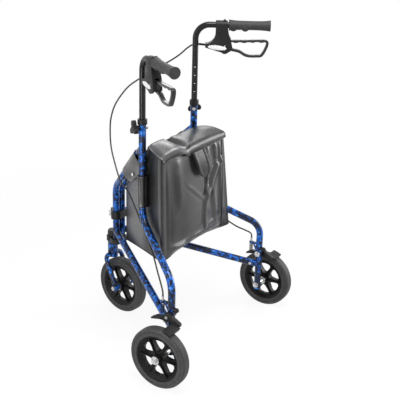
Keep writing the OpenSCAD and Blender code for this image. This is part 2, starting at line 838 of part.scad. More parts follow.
module leg_buffer(side) {
    color(black) on_leg(side) translate([0, 0, buffer_z]) difference() {
        rotate([0, -90, 0]) {
            cylinder(r = buffer_r, h = tube_r + buffer_len - buffer_r / 2);
            translate([0, 0, tube_r + buffer_len - buffer_r / 2])
                cylinder(r1 = buffer_r, r2 = buffer_r / 2, h = buffer_r / 2);
        }
        translate([0, 0, -2 * buffer_r]) cylinder(r = tube_r + weld_gap, h = 4 * buffer_r);
    }
}

// Outline of the brake arm, [forward, up] from its pivot
function arm_outline() = concat(
    [[arm_tip, -arm_tip_drop], [arm_tip, arm_front_h / 2 - arm_tip_drop],
        [anchor_ahead + spring_d / 2, -arm_seat_drop], [anchor_ahead - spring_d / 2, -arm_seat_drop]],
    [for (t = [50 : 20 : 150]) pivot_boss_r * [cos(t), sin(t)]],
    [for (t = [150 : 24 : 270]) [-arm_heel, -arm_heel_drop] + arm_heel_r * [cos(t), sin(t)]],
    [[-pivot_boss_r, -pivot_boss_r], [0, -pivot_boss_r],
        [anchor_ahead - spring_d / 2, -arm_seat_drop - arm_front_h]]);

module brake_arm(side) {
    color(black) on_leg(side) translate([0, arm_side, arm_pivot_z]) difference() {
        translate([0, arm_w, 0]) rotate([90, 0, 0]) linear_extrude(arm_w) polygon(arm_outline());
        y_rod(pivot_bolt_d / 2 + run_gap, -overrun, arm_w + 2 * overrun);
    }
}

// Brake shoe: a toothed strip round the tyre, from the arm across the tread
module brake_shoe(side) {
    low = wheel_r + shoe_gap;
    teeth = [
        for (k = [0 : 2 * shoe_tooth_count])
            let (t = 90 + shoe_start_angle + shoe_sweep * k / (2 * shoe_tooth_count))
                (low + shoe_tooth * (k % 2)) * [cos(t), sin(t)]];
    back = [
        for (t = [shoe_sweep : -shoe_sweep / 4 : 0])
            (low + shoe_thick) * [cos(90 + shoe_start_angle + t), sin(90 + shoe_start_angle + t)]];
    color(black) on_leg(side) translate([0, arm_side + arm_w + run_gap, wheel_r])
        translate([0, shoe_len, 0]) rotate([90, 0, 0]) linear_extrude(shoe_len) polygon(concat(teeth, back));
}

// Return spring between arm and cable bracket, one unbroken wire
spring_r = (spring_d - spring_wire) / 2;
spring_low = arm_pivot_z - arm_seat_drop + spring_wire / 2 + seat_gap;
spring_high = anchor_z - spring_wire / 2 - seat_gap;
function spring_place(i) =
    let (n = spring_turns * spring_rings)
        [spring_r * cos(360 * i / spring_rings), spring_r * sin(360 * i / spring_rings),
            spring_low + (spring_high - spring_low) * i / n];
spring_wire_places = [for (i = [0 : spring_turns * spring_rings]) spring_place(i)];
spring_least_gap = min([
    for (i = [0 : spring_rings])
        norm(spring_wire_places[i] - spring_wire_places[i + spring_rings]) - spring_wire]);
echo(spring_least_gap = spring_least_gap);

module brake_spring(side) {
    color(black) on_leg(side) translate([anchor_ahead, 0, 0])
        swept(spring_wire_places, spring_wire / 2, spring_sides);
}

// Handles

module handle_post(side) {
    path = [[0, post_low], [0, 0], [grip_end - grip_wall_end - seat_gap, 0]];
    color(black) on_handle(side) difference() {
        bent_tube(path, post_bend_r, post_d, post_wall);
        for (k = [0 : hole_count - 1]) translate([0, 0, post_lowest_hole + k * hole_pitch])
            y_rod(clamp_hole_d / 2, -post_d, 2 * post_d);
    }
}

// Grip: flared ends, a slim waist and finger ridges below
grip_waist_share = 0.82;
function grip_radius(t) = grip_d / 2 * (grip_waist_share + (1 - grip_waist_share) * pow(2 * t - 1, 4));
grip_stations = 16;

module handgrip(side) {
    color(rubber) on_handle(side) translate([grip_start, 0, 0]) difference() {
        union() {
            rotate([0, 90, 0]) rotate_extrude() polygon(concat([
                for (k = [0 : grip_stations]) [grip_radius(k / grip_stations), grip_len * k / grip_stations]],
                [[0, grip_len], [0, 0]]));
            for (k = [0 : grip_ridge_count - 1])
                translate([grip_ridge_from + k * grip_ridge_pitch, 0, -grip_ridge_drop])
                    sphere(r = grip_ridge_r);
        }
        rotate([0, 90, 0]) translate([0, 0, -overrun])
            cylinder(d = post_d + 2 * run_gap, h = grip_len - grip_wall_end + overrun);
    }
}

// Side outline of the brake housing: clamp above, nose for the cable in front, lever root behind
function housing_outline() = let (
    back = housing_back, front = housing_front, low = lever_pin_w - lever_root_r)
    concat(
        [[back, 0], [front, 0]],
        [for (t = [0 : 15 : 75])
            [front, nose_w + lever_root_r] + (front - nose_u) * [-1 + cos(t), 1 - sin(t)]
                + [0, -lever_root_r / 2]],
        [[nose_u, nose_w + adjuster_r * 1.6], [nose_u, nose_w - adjuster_r * 1.6]],
        [[lever_pin_u - 2 * lever_root_r, low - lever_root_r / 2]],
        [for (t = [220 : 20 : 300]) [lever_pin_u, low] + lever_root_r * 1.2 * [cos(t), sin(t)]],
        [[back + lever_root_r * 1.6, low], [back + lever_root_r, nose_w + 2 * lever_root_r],
            [back + lever_root_r / 2, nose_w / 2]]);

module brake_housing(side) {
    half = housing_w / 2;
    color(black) on_handle(side) difference() {
        union() {
            translate([0, half, 0]) rotate([90, 0, 0]) linear_extrude(housing_w) polygon(housing_outline());
            translate([housing_front, 0, 0]) rotate([0, 90, 0])
                cylinder(r = housing_clamp_r, h = housing_back - housing_front);
            adjuster_place(side) cylinder(r = adjuster_r, h = adjuster_len);
            translate([housing_back - pinch_in, 0, housing_clamp_r - pinch_r / 4])
                y_rod(pinch_r, -pinch_len / 2, pinch_len);
        }
        rotate([0, 90, 0]) cylinder(d = post_d + 2 * run_gap, h = grip_end);
        translate([lever_pin_u - lever_root_r - overrun, -lever_slot / 2, lever_pin_w - 3 * lever_root_r])
            cube([grip_len, lever_slot, 5 * lever_root_r]);
        translate([lever_pin_u, 0, lever_pin_w]) y_rod(lever_pin_d / 2 + run_gap, -housing_w, 2 * housing_w);
    }
}

// Cable adjuster, slanting past the same side of both posts
module adjuster_place(side) {
    slant = atan(cable_side / (nose_u + overrun));
    translate([nose_u + cable_d, side * (cable_side - cable_d) / 4, nose_w]) rotate([0, -90, 0])
        rotate([-side * slant, 0, 0]) translate([0, 0, -cable_d]) children();
}

// Middle line of the loop lever from its pin, in shares of its length back and its depth down
lever_len = 131;
lever_depth = 47;
lever_loop_shares = [
    [0.12, -0.30], [0.46, -0.32], [0.89, -0.36], [1, -0.19], [0.89, 0.53], [0.76, 0.64], [0.52, 0.62],
    [0.34, 0.36], [0.17, 0.26]];
lever_loop = [
    for (q = lever_loop_shares) [lever_pin_u + lever_len * q.x, lever_pin_w - lever_depth * q.y]];
lever_middle = spline(lever_loop, lever_round_steps);
function lever_normal(i) =
    let (n = len(lever_middle) - 1, w = unit(lever_middle[min(i + 1, n)] - lever_middle[max(i - 1, 0)]))
        [-w.y, w.x];
function lever_wavy(i) =
    lever_wave * pow(max(0, lever_normal(i).y), 8) * sin(360 * lever_middle[i].x / lever_wave_pitch);
function lever_edge(out) = [
    for (i = [0 : len(lever_middle) - 1])
        lever_middle[i] + lever_normal(i) * (out ? lever_bar / 2 : lever_wavy(i) - lever_bar / 2)];
function backwards(v) = [for (i = [len(v) - 1 : -1 : 0]) v[i]];

module brake_lever(side) {
    half = lever_w / 2;
    last = len(lever_middle) - 1;
    root = lever_root_r - 2 * seat_gap;
    color(black) on_handle(side) difference() {
        union() {
            lever_slab() polygon(concat(lever_edge(true), backwards(lever_edge(false))));
            lever_slab() polygon([
                [lever_pin_u, lever_pin_w + root], lever_edge(true)[1], lever_edge(false)[1],
                lever_edge(false)[last - 1], lever_edge(true)[last - 1], [lever_pin_u, lever_pin_w - root]]);
            translate([lever_pin_u, 0, lever_pin_w]) y_rod(lever_root_r - seat_gap, -half, lever_w);
        }
        translate([lever_pin_u, 0, lever_pin_w]) y_rod(lever_pin_d / 2 + run_gap, -housing_w, 2 * housing_w);
    }
}

module lever_slab() {
    translate([0, lever_w / 2, 0]) rotate([90, 0, 0]) linear_extrude(lever_w) children();
}

module lever_pin(side) {
    color(zinc) on_handle(side) translate([lever_pin_u, 0, lever_pin_w])
        y_rod(lever_pin_d / 2, -housing_w / 2, housing_w);
}

// Cables: the upper stretch starts beside the post on the same side of both handles
function cable_route(side) = let (
    upper = side > 0 ? cable_upper_left : cable_upper_right,
    bight = side > 0 ? cable_bight_left : cable_bight_right)
        spline(concat(
            [for (p = upper) p + [0, 0, grip_z - handle_drop(side)]], bight, cable_lower), cable_steps);

module brake_cable(side) {
    color(black) on_frame(side) swept(cable_route(side), cable_d / 2, cable_sides);
}

// Bag

// Half width of the bag at a place behind the hinge axes, inside the side frames
function bag_half(back, inset) = hinge_y + back * tan(spread_angle) - bag_side_gap - inset;

// Arc of places round a corner
function corner_arc(at, r, from, to) =
    [for (k = [0 : bag_arc_steps]) at + r * [cos(from + (to - from) * k / bag_arc_steps),
        sin(from + (to - from) * k / bag_arc_steps)]];

// The rear panel leans forward towards its top, and the floor falls towards the front
bag_lean_angle = atan(bag_lean / (bag_top_z - bag_bottom_z - 2 * bag_round));
bag_floor_tilt = atan(bag_front_drop / (bag_rear - bag_front - 2 * bag_round));

// Bag form, drawn in by inset: plan, side and rear outlines crossed; outlines as [back, out] or [back, up]
module bag_form(inset) {
    front = bag_front + inset;
    rear = bag_rear - inset;
    side = inset / cos(spread_angle);
    r = bag_round - inset;
    half = [
        [front + bag_round, bag_half(front + bag_round, side)], [front, bag_half(front, side) - bag_round]];
    rear_half = bag_half(rear, side);
    bow = bag_corner - inset;
    bow_y = bag_half(rear - bow, side) - bow / cos(spread_angle);
    plan = concat(
        half, [for (q = backwards(half)) [q.x, -q.y]],
        corner_arc([rear - bow, -bow_y], bow, -90 - spread_angle, 0),
        corner_arc([rear - bow, bow_y], bow, 0, 90 + spread_angle));
    low = bag_bottom_z + inset;
    top = bag_top_z - inset;
    profile = concat(
        corner_arc([front + r, low + r - bag_front_drop], r, 180, 270 + bag_floor_tilt),
        corner_arc([rear - r, low + r], r, 270 + bag_floor_tilt, 360 + bag_lean_angle),
        corner_arc([rear - r - bag_lean, top - r], r, bag_lean_angle, 80),
        corner_arc([bag_ridge, top + bag_ridge_rise - r], r, 85, 120),
        [[bag_slope_top + inset, bag_slope_top_z - inset], [front, bag_slope_top_z - bag_round - inset]]);
    behind = concat(
        [for (k = [0 : bag_sag_points])
            let (y = rear_half * (2 * k / bag_sag_points - 1))
                [y, low + bag_corner_lift * pow(y / rear_half, 2)]],
        [[rear_half, top + 2 * bag_round], [-rear_half, top + 2 * bag_round]]);
    intersection() {
        along_y(4 * bag_rear) polygon(profile);
        translate([hinge_x, 0, 0]) mirror([1, 0, 0]) linear_extrude(2 * bag_top_z) polygon(plan);
        translate([hinge_x - rear, 0, low]) rotate([0, bag_floor_tilt, 0]) translate([-rear, 0, -low])
            rotate([90, 0, 90]) linear_extrude(3 * bag_rear) polygon(behind);
    }
}

module bag_body() {
    mouth_rear = bag_rear - bag_lean - bag_mouth_lip;
    mouth = mouth_rear - bag_ridge - bag_mouth_margin;
    half = bag_half(bag_ridge, 0) - bag_mouth_margin;
    color(bag_grey) difference() {
        bag_form(0);
        bag_form(bag_wall);
        translate([hinge_x - mouth_rear, -half, bag_top_z - bag_round])
            cube([mouth, 2 * half, 4 * bag_round]);
    }
}

// Profile of the flap, [back, up], over the mouth and down the rear panel
bag_top_end = bag_rear - bag_lean - bag_round;
function bag_top_at(back) = bag_top_z + bag_ridge_rise * (bag_top_end - back) / (bag_top_end - bag_ridge);
flap_tilt = atan(bag_ridge_rise / (bag_top_end - bag_ridge));
flap_fall = [sin(bag_lean_angle), -cos(bag_lean_angle)];
flap_round = corner_arc(
    [bag_top_end, bag_top_z - bag_round], bag_round + flap_gap, 90 - flap_tilt, bag_lean_angle);
flap_edge = flap_round[bag_arc_steps];
flap_path = concat(
    [[flap_front, bag_top_at(flap_front) + flap_gap]], flap_round, [flap_edge + flap_fall * flap_drop]);
tab_top = flap_edge + [flap_wall - flap_gap, -flap_gap];
tab_path = [
    tab_top, tab_top + flap_fall * flap_drop,
    tab_top + flap_fall * (flap_drop + tab_len) + [tab_stand, 0]];

// Strip of one thickness outside a profile, mitred at its bends
function out_of(a, b) = let (w = unit(b - a)) [-w.y, w.x];
function mitre(p, i) = let (n = len(p) - 1)
    i == 0 ? out_of(p[0], p[1]) : i == n ? out_of(p[n - 1], p[n])
        : let (a = out_of(p[i - 1], p[i]), b = out_of(p[i], p[i + 1])) (a + b) / (1 + a * b);

module strip(path, wall) {
    polygon(concat(path, backwards([for (i = [0 : len(path) - 1]) path[i] + wall * mitre(path, i)])));
}

module along_y(width) {
    translate([hinge_x, width / 2, 0]) mirror([1, 0, 0]) rotate([90, 0, 0]) linear_extrude(width) children();
}

// Flap plan and wavy hem, seen from behind
module flap_blank() {
    wide = bag_half(bag_rear, flap_margin);
    narrow = bag_half(flap_front, flap_margin);
    low = bag_top_z - bag_round - flap_drop;
    hem = [
        for (k = [0 : flap_points])
            let (y = wide * (2 * k / flap_points - 1))
                [y, low + flap_wave * (1 + cos(360 * 2 * y / wide))]];
    rise = 4 * bag_round;
    intersection() {
        translate([hinge_x - 2 * bag_rear, 0, 0]) rotate([90, 0, 90]) linear_extrude(2 * bag_rear)
            polygon(concat(hem, [[wide, bag_top_z + rise], [-wide, bag_top_z + rise]]));
        translate([0, 0, low - rise]) linear_extrude(2 * rise + flap_drop + bag_round) polygon([
            [hinge_x - flap_front, -narrow], [hinge_x - bag_rear, -wide],
            [hinge_x - bag_rear - rise, -wide], [hinge_x - bag_rear - rise, wide],
            [hinge_x - bag_rear, wide], [hinge_x - flap_front, narrow]]);
    }
}

module bag_flap() {
    color(bag_grey) {
        intersection() {
            along_y(4 * bag_rear) strip(flap_path, flap_wall);
            flap_blank();
        }
        translate([0, tab_y, 0]) along_y(tab_w) strip(tab_path, flap_wall);
    }
}

// Loop round a tube along Z, with the flat joint sewn to the bag's side panel
module strap_loop(h) {
    outer = tube_r + seat_gap + strap_wall;
    panel = bag_side_gap * cos(spread_angle) - seat_gap;
    difference() {
        union() {
            cylinder(r = outer, h = h);
            cube([strap_tab_w, panel, h]);
        }
        translate([0, 0, -overrun]) cylinder(r = tube_r + seat_gap, h = h + 2 * overrun);
    }
}

// Loops round the sleeve and round the upper rail
module bag_strap(side) {
    slope = atan((rail_top_z - rail_bend_z) / post_reach);
    color(bag_grey) on_frame(side) {
        translate([post_reach, 0, strap_low_z]) strap_loop(strap_h);
        translate([wrap_start * cos(slope), 0, rail_bend_z + wrap_start * sin(slope)])
            rotate([0, 90 - slope, 0]) strap_loop(wrap_len);
    }
}

upper_hinge_block();
lower_hinge_block();
hinge_screws();
head_tube();
stem_bushes();
stem_cap();
fork();
stem_nut();
front_axle();
front_tyre();
front_rim();
front_bushes();
bag_body();
bag_flap();
rear_tube(1);  // rear_tube_left
rear_tube(-1);  // rear_tube_right
front_tube(1);  // front_tube_left
front_tube(-1);  // front_tube_right
lower_rail(1);  // lower_rail_left
lower_rail(-1);  // lower_rail_right
sleeve_collar(1);  // sleeve_collar_left
sleeve_collar(-1);  // sleeve_collar_right
cable_bracket(1);  // cable_bracket_left
cable_bracket(-1);  // cable_bracket_right
brake_hardware(1);  // brake_hardware_left
brake_hardware(-1);  // brake_hardware_right
leg_buffer(1);  // leg_buffer_left
leg_buffer(-1);  // leg_buffer_right
rear_axle(1);  // rear_axle_left
rear_axle(-1);  // rear_axle_right
clamp_bolt(1);  // clamp_bolt_left
clamp_bolt(-1);  // clamp_bolt_right
clamp_knob(1);  // clamp_knob_left
clamp_knob(-1);  // clamp_knob_right
bag_strap(1);  // bag_strap_left
bag_strap(-1);  // bag_strap_right
rear_tyre(1);  // rear_tyre_left
rear_tyre(-1);  // rear_tyre_right
rear_rim(1);  // rear_rim_left
rear_rim(-1);  // rear_rim_right
rear_bushes(1);  // hub_bushes_left
rear_bushes(-1);  // hub_bushes_right
brake_arm(1);  // brake_arm_left
brake_arm(-1);  // brake_arm_right
brake_shoe(1);  // brake_shoe_left
brake_shoe(-1);  // brake_shoe_right
brake_spring(1);  // brake_spring_left
brake_spring(-1);  // brake_spring_right
handle_post(1);  // handle_post_left
handle_post(-1);  // handle_post_right
handgrip(1);  // handgrip_left
handgrip(-1);  // handgrip_right
brake_housing(1);  // brake_housing_left
brake_housing(-1);  // brake_housing_right
brake_lever(1);  // brake_lever_left
brake_lever(-1);  // brake_lever_right
lever_pin(1);  // lever_pin_left
lever_pin(-1);  // lever_pin_right
brake_cable(1);  // brake_cable_left
brake_cable(-1);  // brake_cable_right
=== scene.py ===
"""Dresses the three wheel rollator: finishes for its solids, and its bag, straps, cables and trim."""

import json
import math

import bpy
from mathutils import Matrix, Vector

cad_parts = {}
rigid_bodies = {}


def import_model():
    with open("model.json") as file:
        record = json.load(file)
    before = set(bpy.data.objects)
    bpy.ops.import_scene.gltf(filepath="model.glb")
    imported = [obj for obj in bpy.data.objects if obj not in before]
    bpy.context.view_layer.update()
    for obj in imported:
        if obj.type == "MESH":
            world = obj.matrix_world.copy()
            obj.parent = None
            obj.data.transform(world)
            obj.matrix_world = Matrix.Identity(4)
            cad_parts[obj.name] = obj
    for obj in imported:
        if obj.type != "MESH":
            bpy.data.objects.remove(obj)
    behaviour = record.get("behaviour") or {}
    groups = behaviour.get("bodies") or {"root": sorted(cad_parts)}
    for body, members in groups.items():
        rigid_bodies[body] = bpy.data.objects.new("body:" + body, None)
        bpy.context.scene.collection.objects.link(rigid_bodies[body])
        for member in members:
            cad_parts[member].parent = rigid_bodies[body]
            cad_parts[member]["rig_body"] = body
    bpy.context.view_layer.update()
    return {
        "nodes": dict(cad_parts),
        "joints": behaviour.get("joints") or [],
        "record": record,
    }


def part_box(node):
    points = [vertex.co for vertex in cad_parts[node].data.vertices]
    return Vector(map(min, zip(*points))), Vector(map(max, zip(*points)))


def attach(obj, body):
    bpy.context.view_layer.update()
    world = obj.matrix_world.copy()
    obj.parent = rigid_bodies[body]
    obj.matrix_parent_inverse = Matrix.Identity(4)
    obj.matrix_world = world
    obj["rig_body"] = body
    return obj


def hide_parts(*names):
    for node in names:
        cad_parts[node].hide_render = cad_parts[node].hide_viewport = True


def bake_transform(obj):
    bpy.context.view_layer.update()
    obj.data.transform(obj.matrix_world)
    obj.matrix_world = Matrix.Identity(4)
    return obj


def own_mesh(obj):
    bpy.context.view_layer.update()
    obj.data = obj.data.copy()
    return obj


bl_info = {
    "name": "Three wheel rollator",
    "version": (1, 0, 0),
    "blender": (4, 5, 0),
    "location": "View3D > Sidebar > Rollator",
    "description": "Finishes, bag, cables and trim of a three wheel rollator",
    "category": "Object",
}

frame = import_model()
JOINTS = {j["name"]: j for j in frame["joints"]}

# Places in metres: from the frame's joints, and two sizes of the part
HINGE = Vector(JOINTS["left_fold"]["pos_m"])
SPREAD = math.atan2(JOINTS["left_squeeze"]["axis"][0], JOINTS["left_squeeze"]["axis"][1])
SIDES = {"left": 1, "right": -1}
PIN_BELOW_GRIP = 0.063
GRIP_Z = {side: JOINTS[f"{side}_squeeze"]["pos_m"][2] + PIN_BELOW_GRIP for side in SIDES}
POST_REACH = 0.231


def frame_place(side, back, inboard, up):
    """A place in a side frame, back from the hinge, inboard and up, in the part's own axes."""
    x = HINGE.x - back * math.cos(SPREAD) - inboard * math.sin(SPREAD)
    y = HINGE.y + back * math.sin(SPREAD) - inboard * math.cos(SPREAD)
    return Vector((x, SIDES[side] * y, up))


def colour(name, description, default):
    return bpy.props.FloatVectorProperty(
        name=name, description=description, subtype="COLOR", size=3, min=0, max=1, default=default)


def distance(name, description, default):
    return bpy.props.FloatProperty(name=name, description=description, subtype="DISTANCE", default=default)


class RollatorFinish(bpy.types.PropertyGroup):
    """Colours of the rollator's finishes."""

    blue: colour("Frame blue", "Bright colour of the frame's enamel", (0.0, 0.09, 0.44))
    pale: colour("Frame pale blue", "Palest flakes of the frame's enamel", (0.06, 0.34, 0.90))
    navy: colour("Frame navy", "Dark flames in the frame's enamel", (0.004, 0.005, 0.014))
    black: colour("Moulding black", "Colour of mouldings and posts", (0.0075, 0.0075, 0.008))
    rubber: colour("Grip rubber", "Colour of the handgrips", (0.030, 0.030, 0.032))
    tyre: colour("Tyre rubber", "Colour of the tyres", (0.034, 0.034, 0.035))
    bag: colour("Bag vinyl", "Colour of the bag", (0.017, 0.017, 0.018))
    zinc: colour("Zinc", "Colour of plated bolts and nuts", (0.66, 0.66, 0.66))


class RollatorSizes(bpy.types.PropertyGroup):
    """Sizes of the bag and trim."""

    bag_side_gap: distance("Bag side gap", "Side frame plane to the bag's side, across the part", 0.020)
    bag_bulge: distance("Bag bulge", "How far the bag's panels swell", 0.007)
    piping: distance("Piping radius", "Radius of the piping on the bag's edges", 0.0017)
    flap_drop: distance("Flap drop", "How far the flap hangs down the rear panel", 0.014)
    tab_width: distance("Tab width", "Width of the flap's closing tab", 0.072)
    tab_length: distance("Tab length", "Length of the flap's closing tab", 0.088)
    cable: distance("Cable diameter", "Outside diameter of the brake cables", 0.005)
    badge_length: distance("Plate length", "Length of the bare oval plates on the brake housings", 0.058)
    badge_height: distance("Plate height", "Height of the bare oval plates", 0.0142)


# Shader building


class Value:
    """A socket that adds a Math node for each sum it takes part in."""

    def __init__(self, nodes, socket):
        self.nodes, self.socket = nodes, socket

    def maths(self, operation, first, second):
        return self.nodes.node("ShaderNodeMath", {"operation": operation}, {0: first, 1: second})

    def __add__(self, other):
        return self.maths("ADD", self, other)

    def __sub__(self, other):
        return self.maths("SUBTRACT", self, other)

    def __mul__(self, other):
        return self.maths("MULTIPLY", self, other)

    def __rsub__(self, other):
        return self.maths("SUBTRACT", other, self)

    __radd__ = __add__
    __rmul__ = __mul__


class Nodes:
    """A node tree while it is being laid out."""

    def __init__(self, tree):
        self.tree = tree

    def node(self, kind, settings=None, sockets=None, output=0):
        """Adds a node and gives back one of its outputs."""
        made = self.tree.nodes.new(kind)
        for name, value in (settings or {}).items():
            setattr(made, name, value)
        for key, value in (sockets or {}).items():
            self.feed(made.inputs[key], value)
        return Value(self, made.outputs[output])

    def feed(self, socket, value):
        """Links a value to a socket, or sets the socket to a constant."""
        if isinstance(value, Value):
            self.tree.links.new(value.socket, socket)
        elif hasattr(value, "__len__") and socket.type == "RGBA":
            socket.default_value = (*value[:3], 1)
        else:
            socket.default_value = value

    def background_rays(self):
        """1 for the rays that show the background: camera, glossy and transmission."""
        seen = self.node("ShaderNodeLightPath", output="Is Camera Ray")
        for ray in ("Is Glossy Ray", "Is Transmission Ray"):
            seen = seen.maths("MAXIMUM", seen, self.node("ShaderNodeLightPath", output=ray))
        return seen

    def show(self, output, share, first, second):
        """Leads two shaders, mixed by a share, to the tree's output node."""
        blend = self.node("ShaderNodeMixShader", None, {0: share, 1: first, 2: second})
        self.feed(self.tree.nodes[output].inputs["Surface"], blend)


class Finish(Nodes):
    """A material while its nodes are being laid out."""

    def __init__(self, name):
        self.material = bpy.data.materials.new(name)
        self.material.use_nodes = True
        super().__init__(self.material.node_tree)
        self.shader = self.tree.nodes["Principled BSDF"]
        self.place = self.node("ShaderNodeTexCoord", output="Object")

    def noise(self, scale, detail, roughness):
        return self.node(
            "ShaderNodeTexNoise", None,
            {"Vector": self.place, "Scale": scale, "Detail": detail, "Roughness": roughness})

    def step(self, value, low, high):
        """0 below low, 1 above high, smooth between."""
        return self.node(
            "ShaderNodeMapRange", {"interpolation_type": "SMOOTHSTEP"},
            {"Value": value, "From Min": low, "From Max": high})

    def mix(self, share, first, second):
        return self.node(
            "ShaderNodeMix", {"data_type": "RGBA"}, {0: share, 6: first, 7: second}, output=2)

    def bump(self, height, strength, distance):
        return self.node(
            "ShaderNodeBump", None, {"Height": height, "Strength": strength, "Distance": distance})

    def done(self, **sockets):
        """Feeds the shader's own sockets and gives back the material."""
        for name, value in sockets.items():
            self.feed(self.shader.inputs[name.replace("_", " ")], value)
        return self.material


def enamel_blue(colours):
    """Blue enamel with dark flames, under a clear coat."""
    f = Finish("enamel_blue")
    stretch = f.noise(9, 2, 0.5)
    flame = f.noise(80, 5, 0.62)
    fleck = f.noise(210, 3, 0.6)
    fine = f.noise(620, 2, 0.5)
    dark = f.step(flame + 0.30 * fleck + 0.40 * stretch, 0.785, 0.85)
    bright = f.step(f.noise(130, 4, 0.6) + 0.25 * fleck, 0.64, 0.78)
    lit = f.mix(bright, colours.blue, colours.pale)
    return f.done(
        Base_Color=f.mix(0.96 * dark, lit, colours.navy), Metallic=0.55, Roughness=0.26 + 0.14 * fine,
        Specular_IOR_Level=0.15, Coat_Weight=0.5, Coat_Roughness=0.06, Normal=f.bump(fine, 0.05, 0.0004))


def satin_black(colours, name, level, rough, shine, coat=0.0):
    """Powder coated or moulded black with a fine skin."""
    f = Finish(name)
    skin = f.noise(900, 3, 0.6)
    cloud = f.noise(22, 3, 0.5)
    base = tuple(level * c for c in colours.black)
    wear_and_painted_highlight = tuple(min(1, 2.1 * c + 0.002) for c in base)
    return f.done(
        Base_Color=f.mix(0.6 * f.step(cloud, 0.35, 0.8), base, wear_and_painted_highlight), Roughness=rough + 0.14 * (cloud - 0.5),
        Specular_IOR_Level=shine, Coat_Weight=coat, Coat_Roughness=0.07,
        Normal=f.bump(skin, 0.12, 0.0003))


def zinc_plate(colours):
    """Zinc plating with dull spots."""
    f = Finish("zinc_plate")
    spots = f.noise(260, 4, 0.6)
    dull = tuple(0.62 * c for c in colours.zinc)
    return f.done(
        Base_Color=f.mix(f.step(spots, 0.42, 0.68), colours.zinc, dull), Metallic=1.0,
        Roughness=0.2 + 0.16 * spots, Normal=f.bump(spots, 0.05, 0.0003))


def grip_rubber(colours):
    """Matt rubber of the handgrips, a little worn."""
    f = Finish("grip_rubber")
    pores = f.noise(1400, 2, 0.6)
    cloud = f.noise(40, 3, 0.5)
    wear_and_painted_highlight = tuple(1.9 * c for c in colours.rubber)
    return f.done(
        Base_Color=f.mix(0.6 * f.step(cloud, 0.4, 0.75), colours.rubber, wear_and_painted_highlight), Roughness=0.52 + 0.15 * cloud,
        Specular_IOR_Level=0.4, Normal=f.bump(pores, 0.25, 0.0004))


def tyre_rubber(colours):
    """Dusty tyre rubber."""
    f = Finish("tyre_rubber")
    pores = f.noise(700, 3, 0.6)
    dust = f.noise(30, 4, 0.6)
    dusty = tuple(1.7 * c + 0.004 for c in colours.tyre)
    return f.done(
        Base_Color=f.mix(0.7 * f.step(dust, 0.42, 0.72), colours.tyre, dusty), Roughness=0.55 + 0.15 * dust,
        Specular_IOR_Level=0.4, Normal=f.bump(pores, 0.2, 0.0005))


def bag_vinyl(colours, name="bag_vinyl", level=1.0, gloss=1.0):
    """Supple grained vinyl with a soft gloss, with painted highlights and painted shade where its mesh is
    marked with painted shading; the coat is thinned where shade is painted.
    """
    f = Finish(name)
    grain = f.node(
        "ShaderNodeTexVoronoi", {"feature": "DISTANCE_TO_EDGE"}, {"Vector": f.place, "Scale": 620.0})
    fine = f.noise(1500, 2, 0.5)
    cloud = f.noise(14, 4, 0.55)
    ripple = f.noise(60, 3, 0.5)
    base = tuple(level * c for c in colours.bag)
    pale = tuple(1.9 * c for c in base)
    height = f.step(grain, 0.0, 0.35) + 0.35 * fine + 2.5 * ripple
    # Painted shading from the mesh: painted highlight above 0, painted shade below 0
    rubbed = f.node("ShaderNodeAttribute", {"attribute_name": "rubbed"}, output="Fac")
    plain = f.mix(f.step(cloud, 0.35, 0.72), base, pale)
    # Mask of the painted shade
    dark = f.step(0 - rubbed, 0.0, 1.0)
    # Painted highlight: a pale colour where the painted shading is above 0
    wear_and_painted_highlight = f.mix(f.step(rubbed, 0.0, 1.3), plain, tuple(11 * c for c in base))
    # Painted shade: a darker colour and a thinner coat under the painted shade mask
    return f.done(
        Base_Color=f.mix(0.85 * dark, wear_and_painted_highlight, tuple(0.3 * c for c in base)), Roughness=0.24 + 0.12 * cloud,
        Specular_IOR_Level=0.14, Coat_Weight=gloss * (0.85 - 0.78 * dark), Coat_Roughness=0.27,
        Normal=f.bump(height, 0.30, 0.0006))


def cable_sheath(colours):
    """Smooth black sheath of the brake cables."""
    f = Finish("cable_sheath")
    cloud = f.noise(160, 3, 0.5)
    base = tuple(0.8 * c for c in colours.black)
    return f.done(
        Base_Color=f.mix(cloud, base, colours.black), Roughness=0.3 + 0.12 * cloud,
        Normal=f.bump(f.noise(1800, 2, 0.5), 0.06, 0.0002))


def white_plate(_colours):
    """Bare white plate."""
    f = Finish("white_plate")
    cloud = f.noise(70, 3, 0.5)
    return f.done(
        Base_Color=f.mix(cloud, (0.90, 0.90, 0.90), (0.84, 0.84, 0.84)), Roughness=0.32 + 0.1 * cloud,
        Normal=f.bump(f.noise(1200, 2, 0.5), 0.05, 0.0002))


MAKERS = {
    "blue_tube": enamel_blue,
    "black_tube": lambda c: satin_black(c, "post_black", level=0.5, rough=0.3, shine=0.1, coat=0.45),
    "black_moulding": lambda c: satin_black(c, "moulding_black", level=1.3, rough=0.45, shine=0.25),
    "lever_black": lambda c: satin_black(c, "lever_black", level=1.3, rough=0.3, shine=0.3, coat=0.3),
    "rim_black": lambda c: satin_black(c, "rim_black", level=0.7, rough=0.4, shine=0.16),
    "zinc": zinc_plate,
    "grip_rubber": grip_rubber,
    "tyre_rubber": tyre_rubber,
    "bag_fabric": bag_vinyl,
    "bag_binding": lambda c: bag_vinyl(c, "bag_binding", level=0.25, gloss=0.3),
    "cable_sheath": cable_sheath,
    "spring_steel": lambda c: satin_black(c, "spring_black", level=0.7, rough=0.34, shine=0.25),
    "strap_fabric": lambda c: bag_vinyl(c, "strap_fabric", level=0.5),
    "white_plate": white_plate,
}
FINISHES = {}


def finish(name):
    """The named material, made once."""
    if name not in FINISHES:
        FINISHES[name] = MAKERS[name](bpy.context.scene.rollator_finish)
    return FINISHES[name]


def dress(piece, material):
    """Gives a piece its material."""
    piece.data.materials.clear()
    piece.data.materials.append(finish(material))


# Mesh building

EDGE_ANGLE = math.radians(32)
TRIM_ANGLE = math.radians(40)


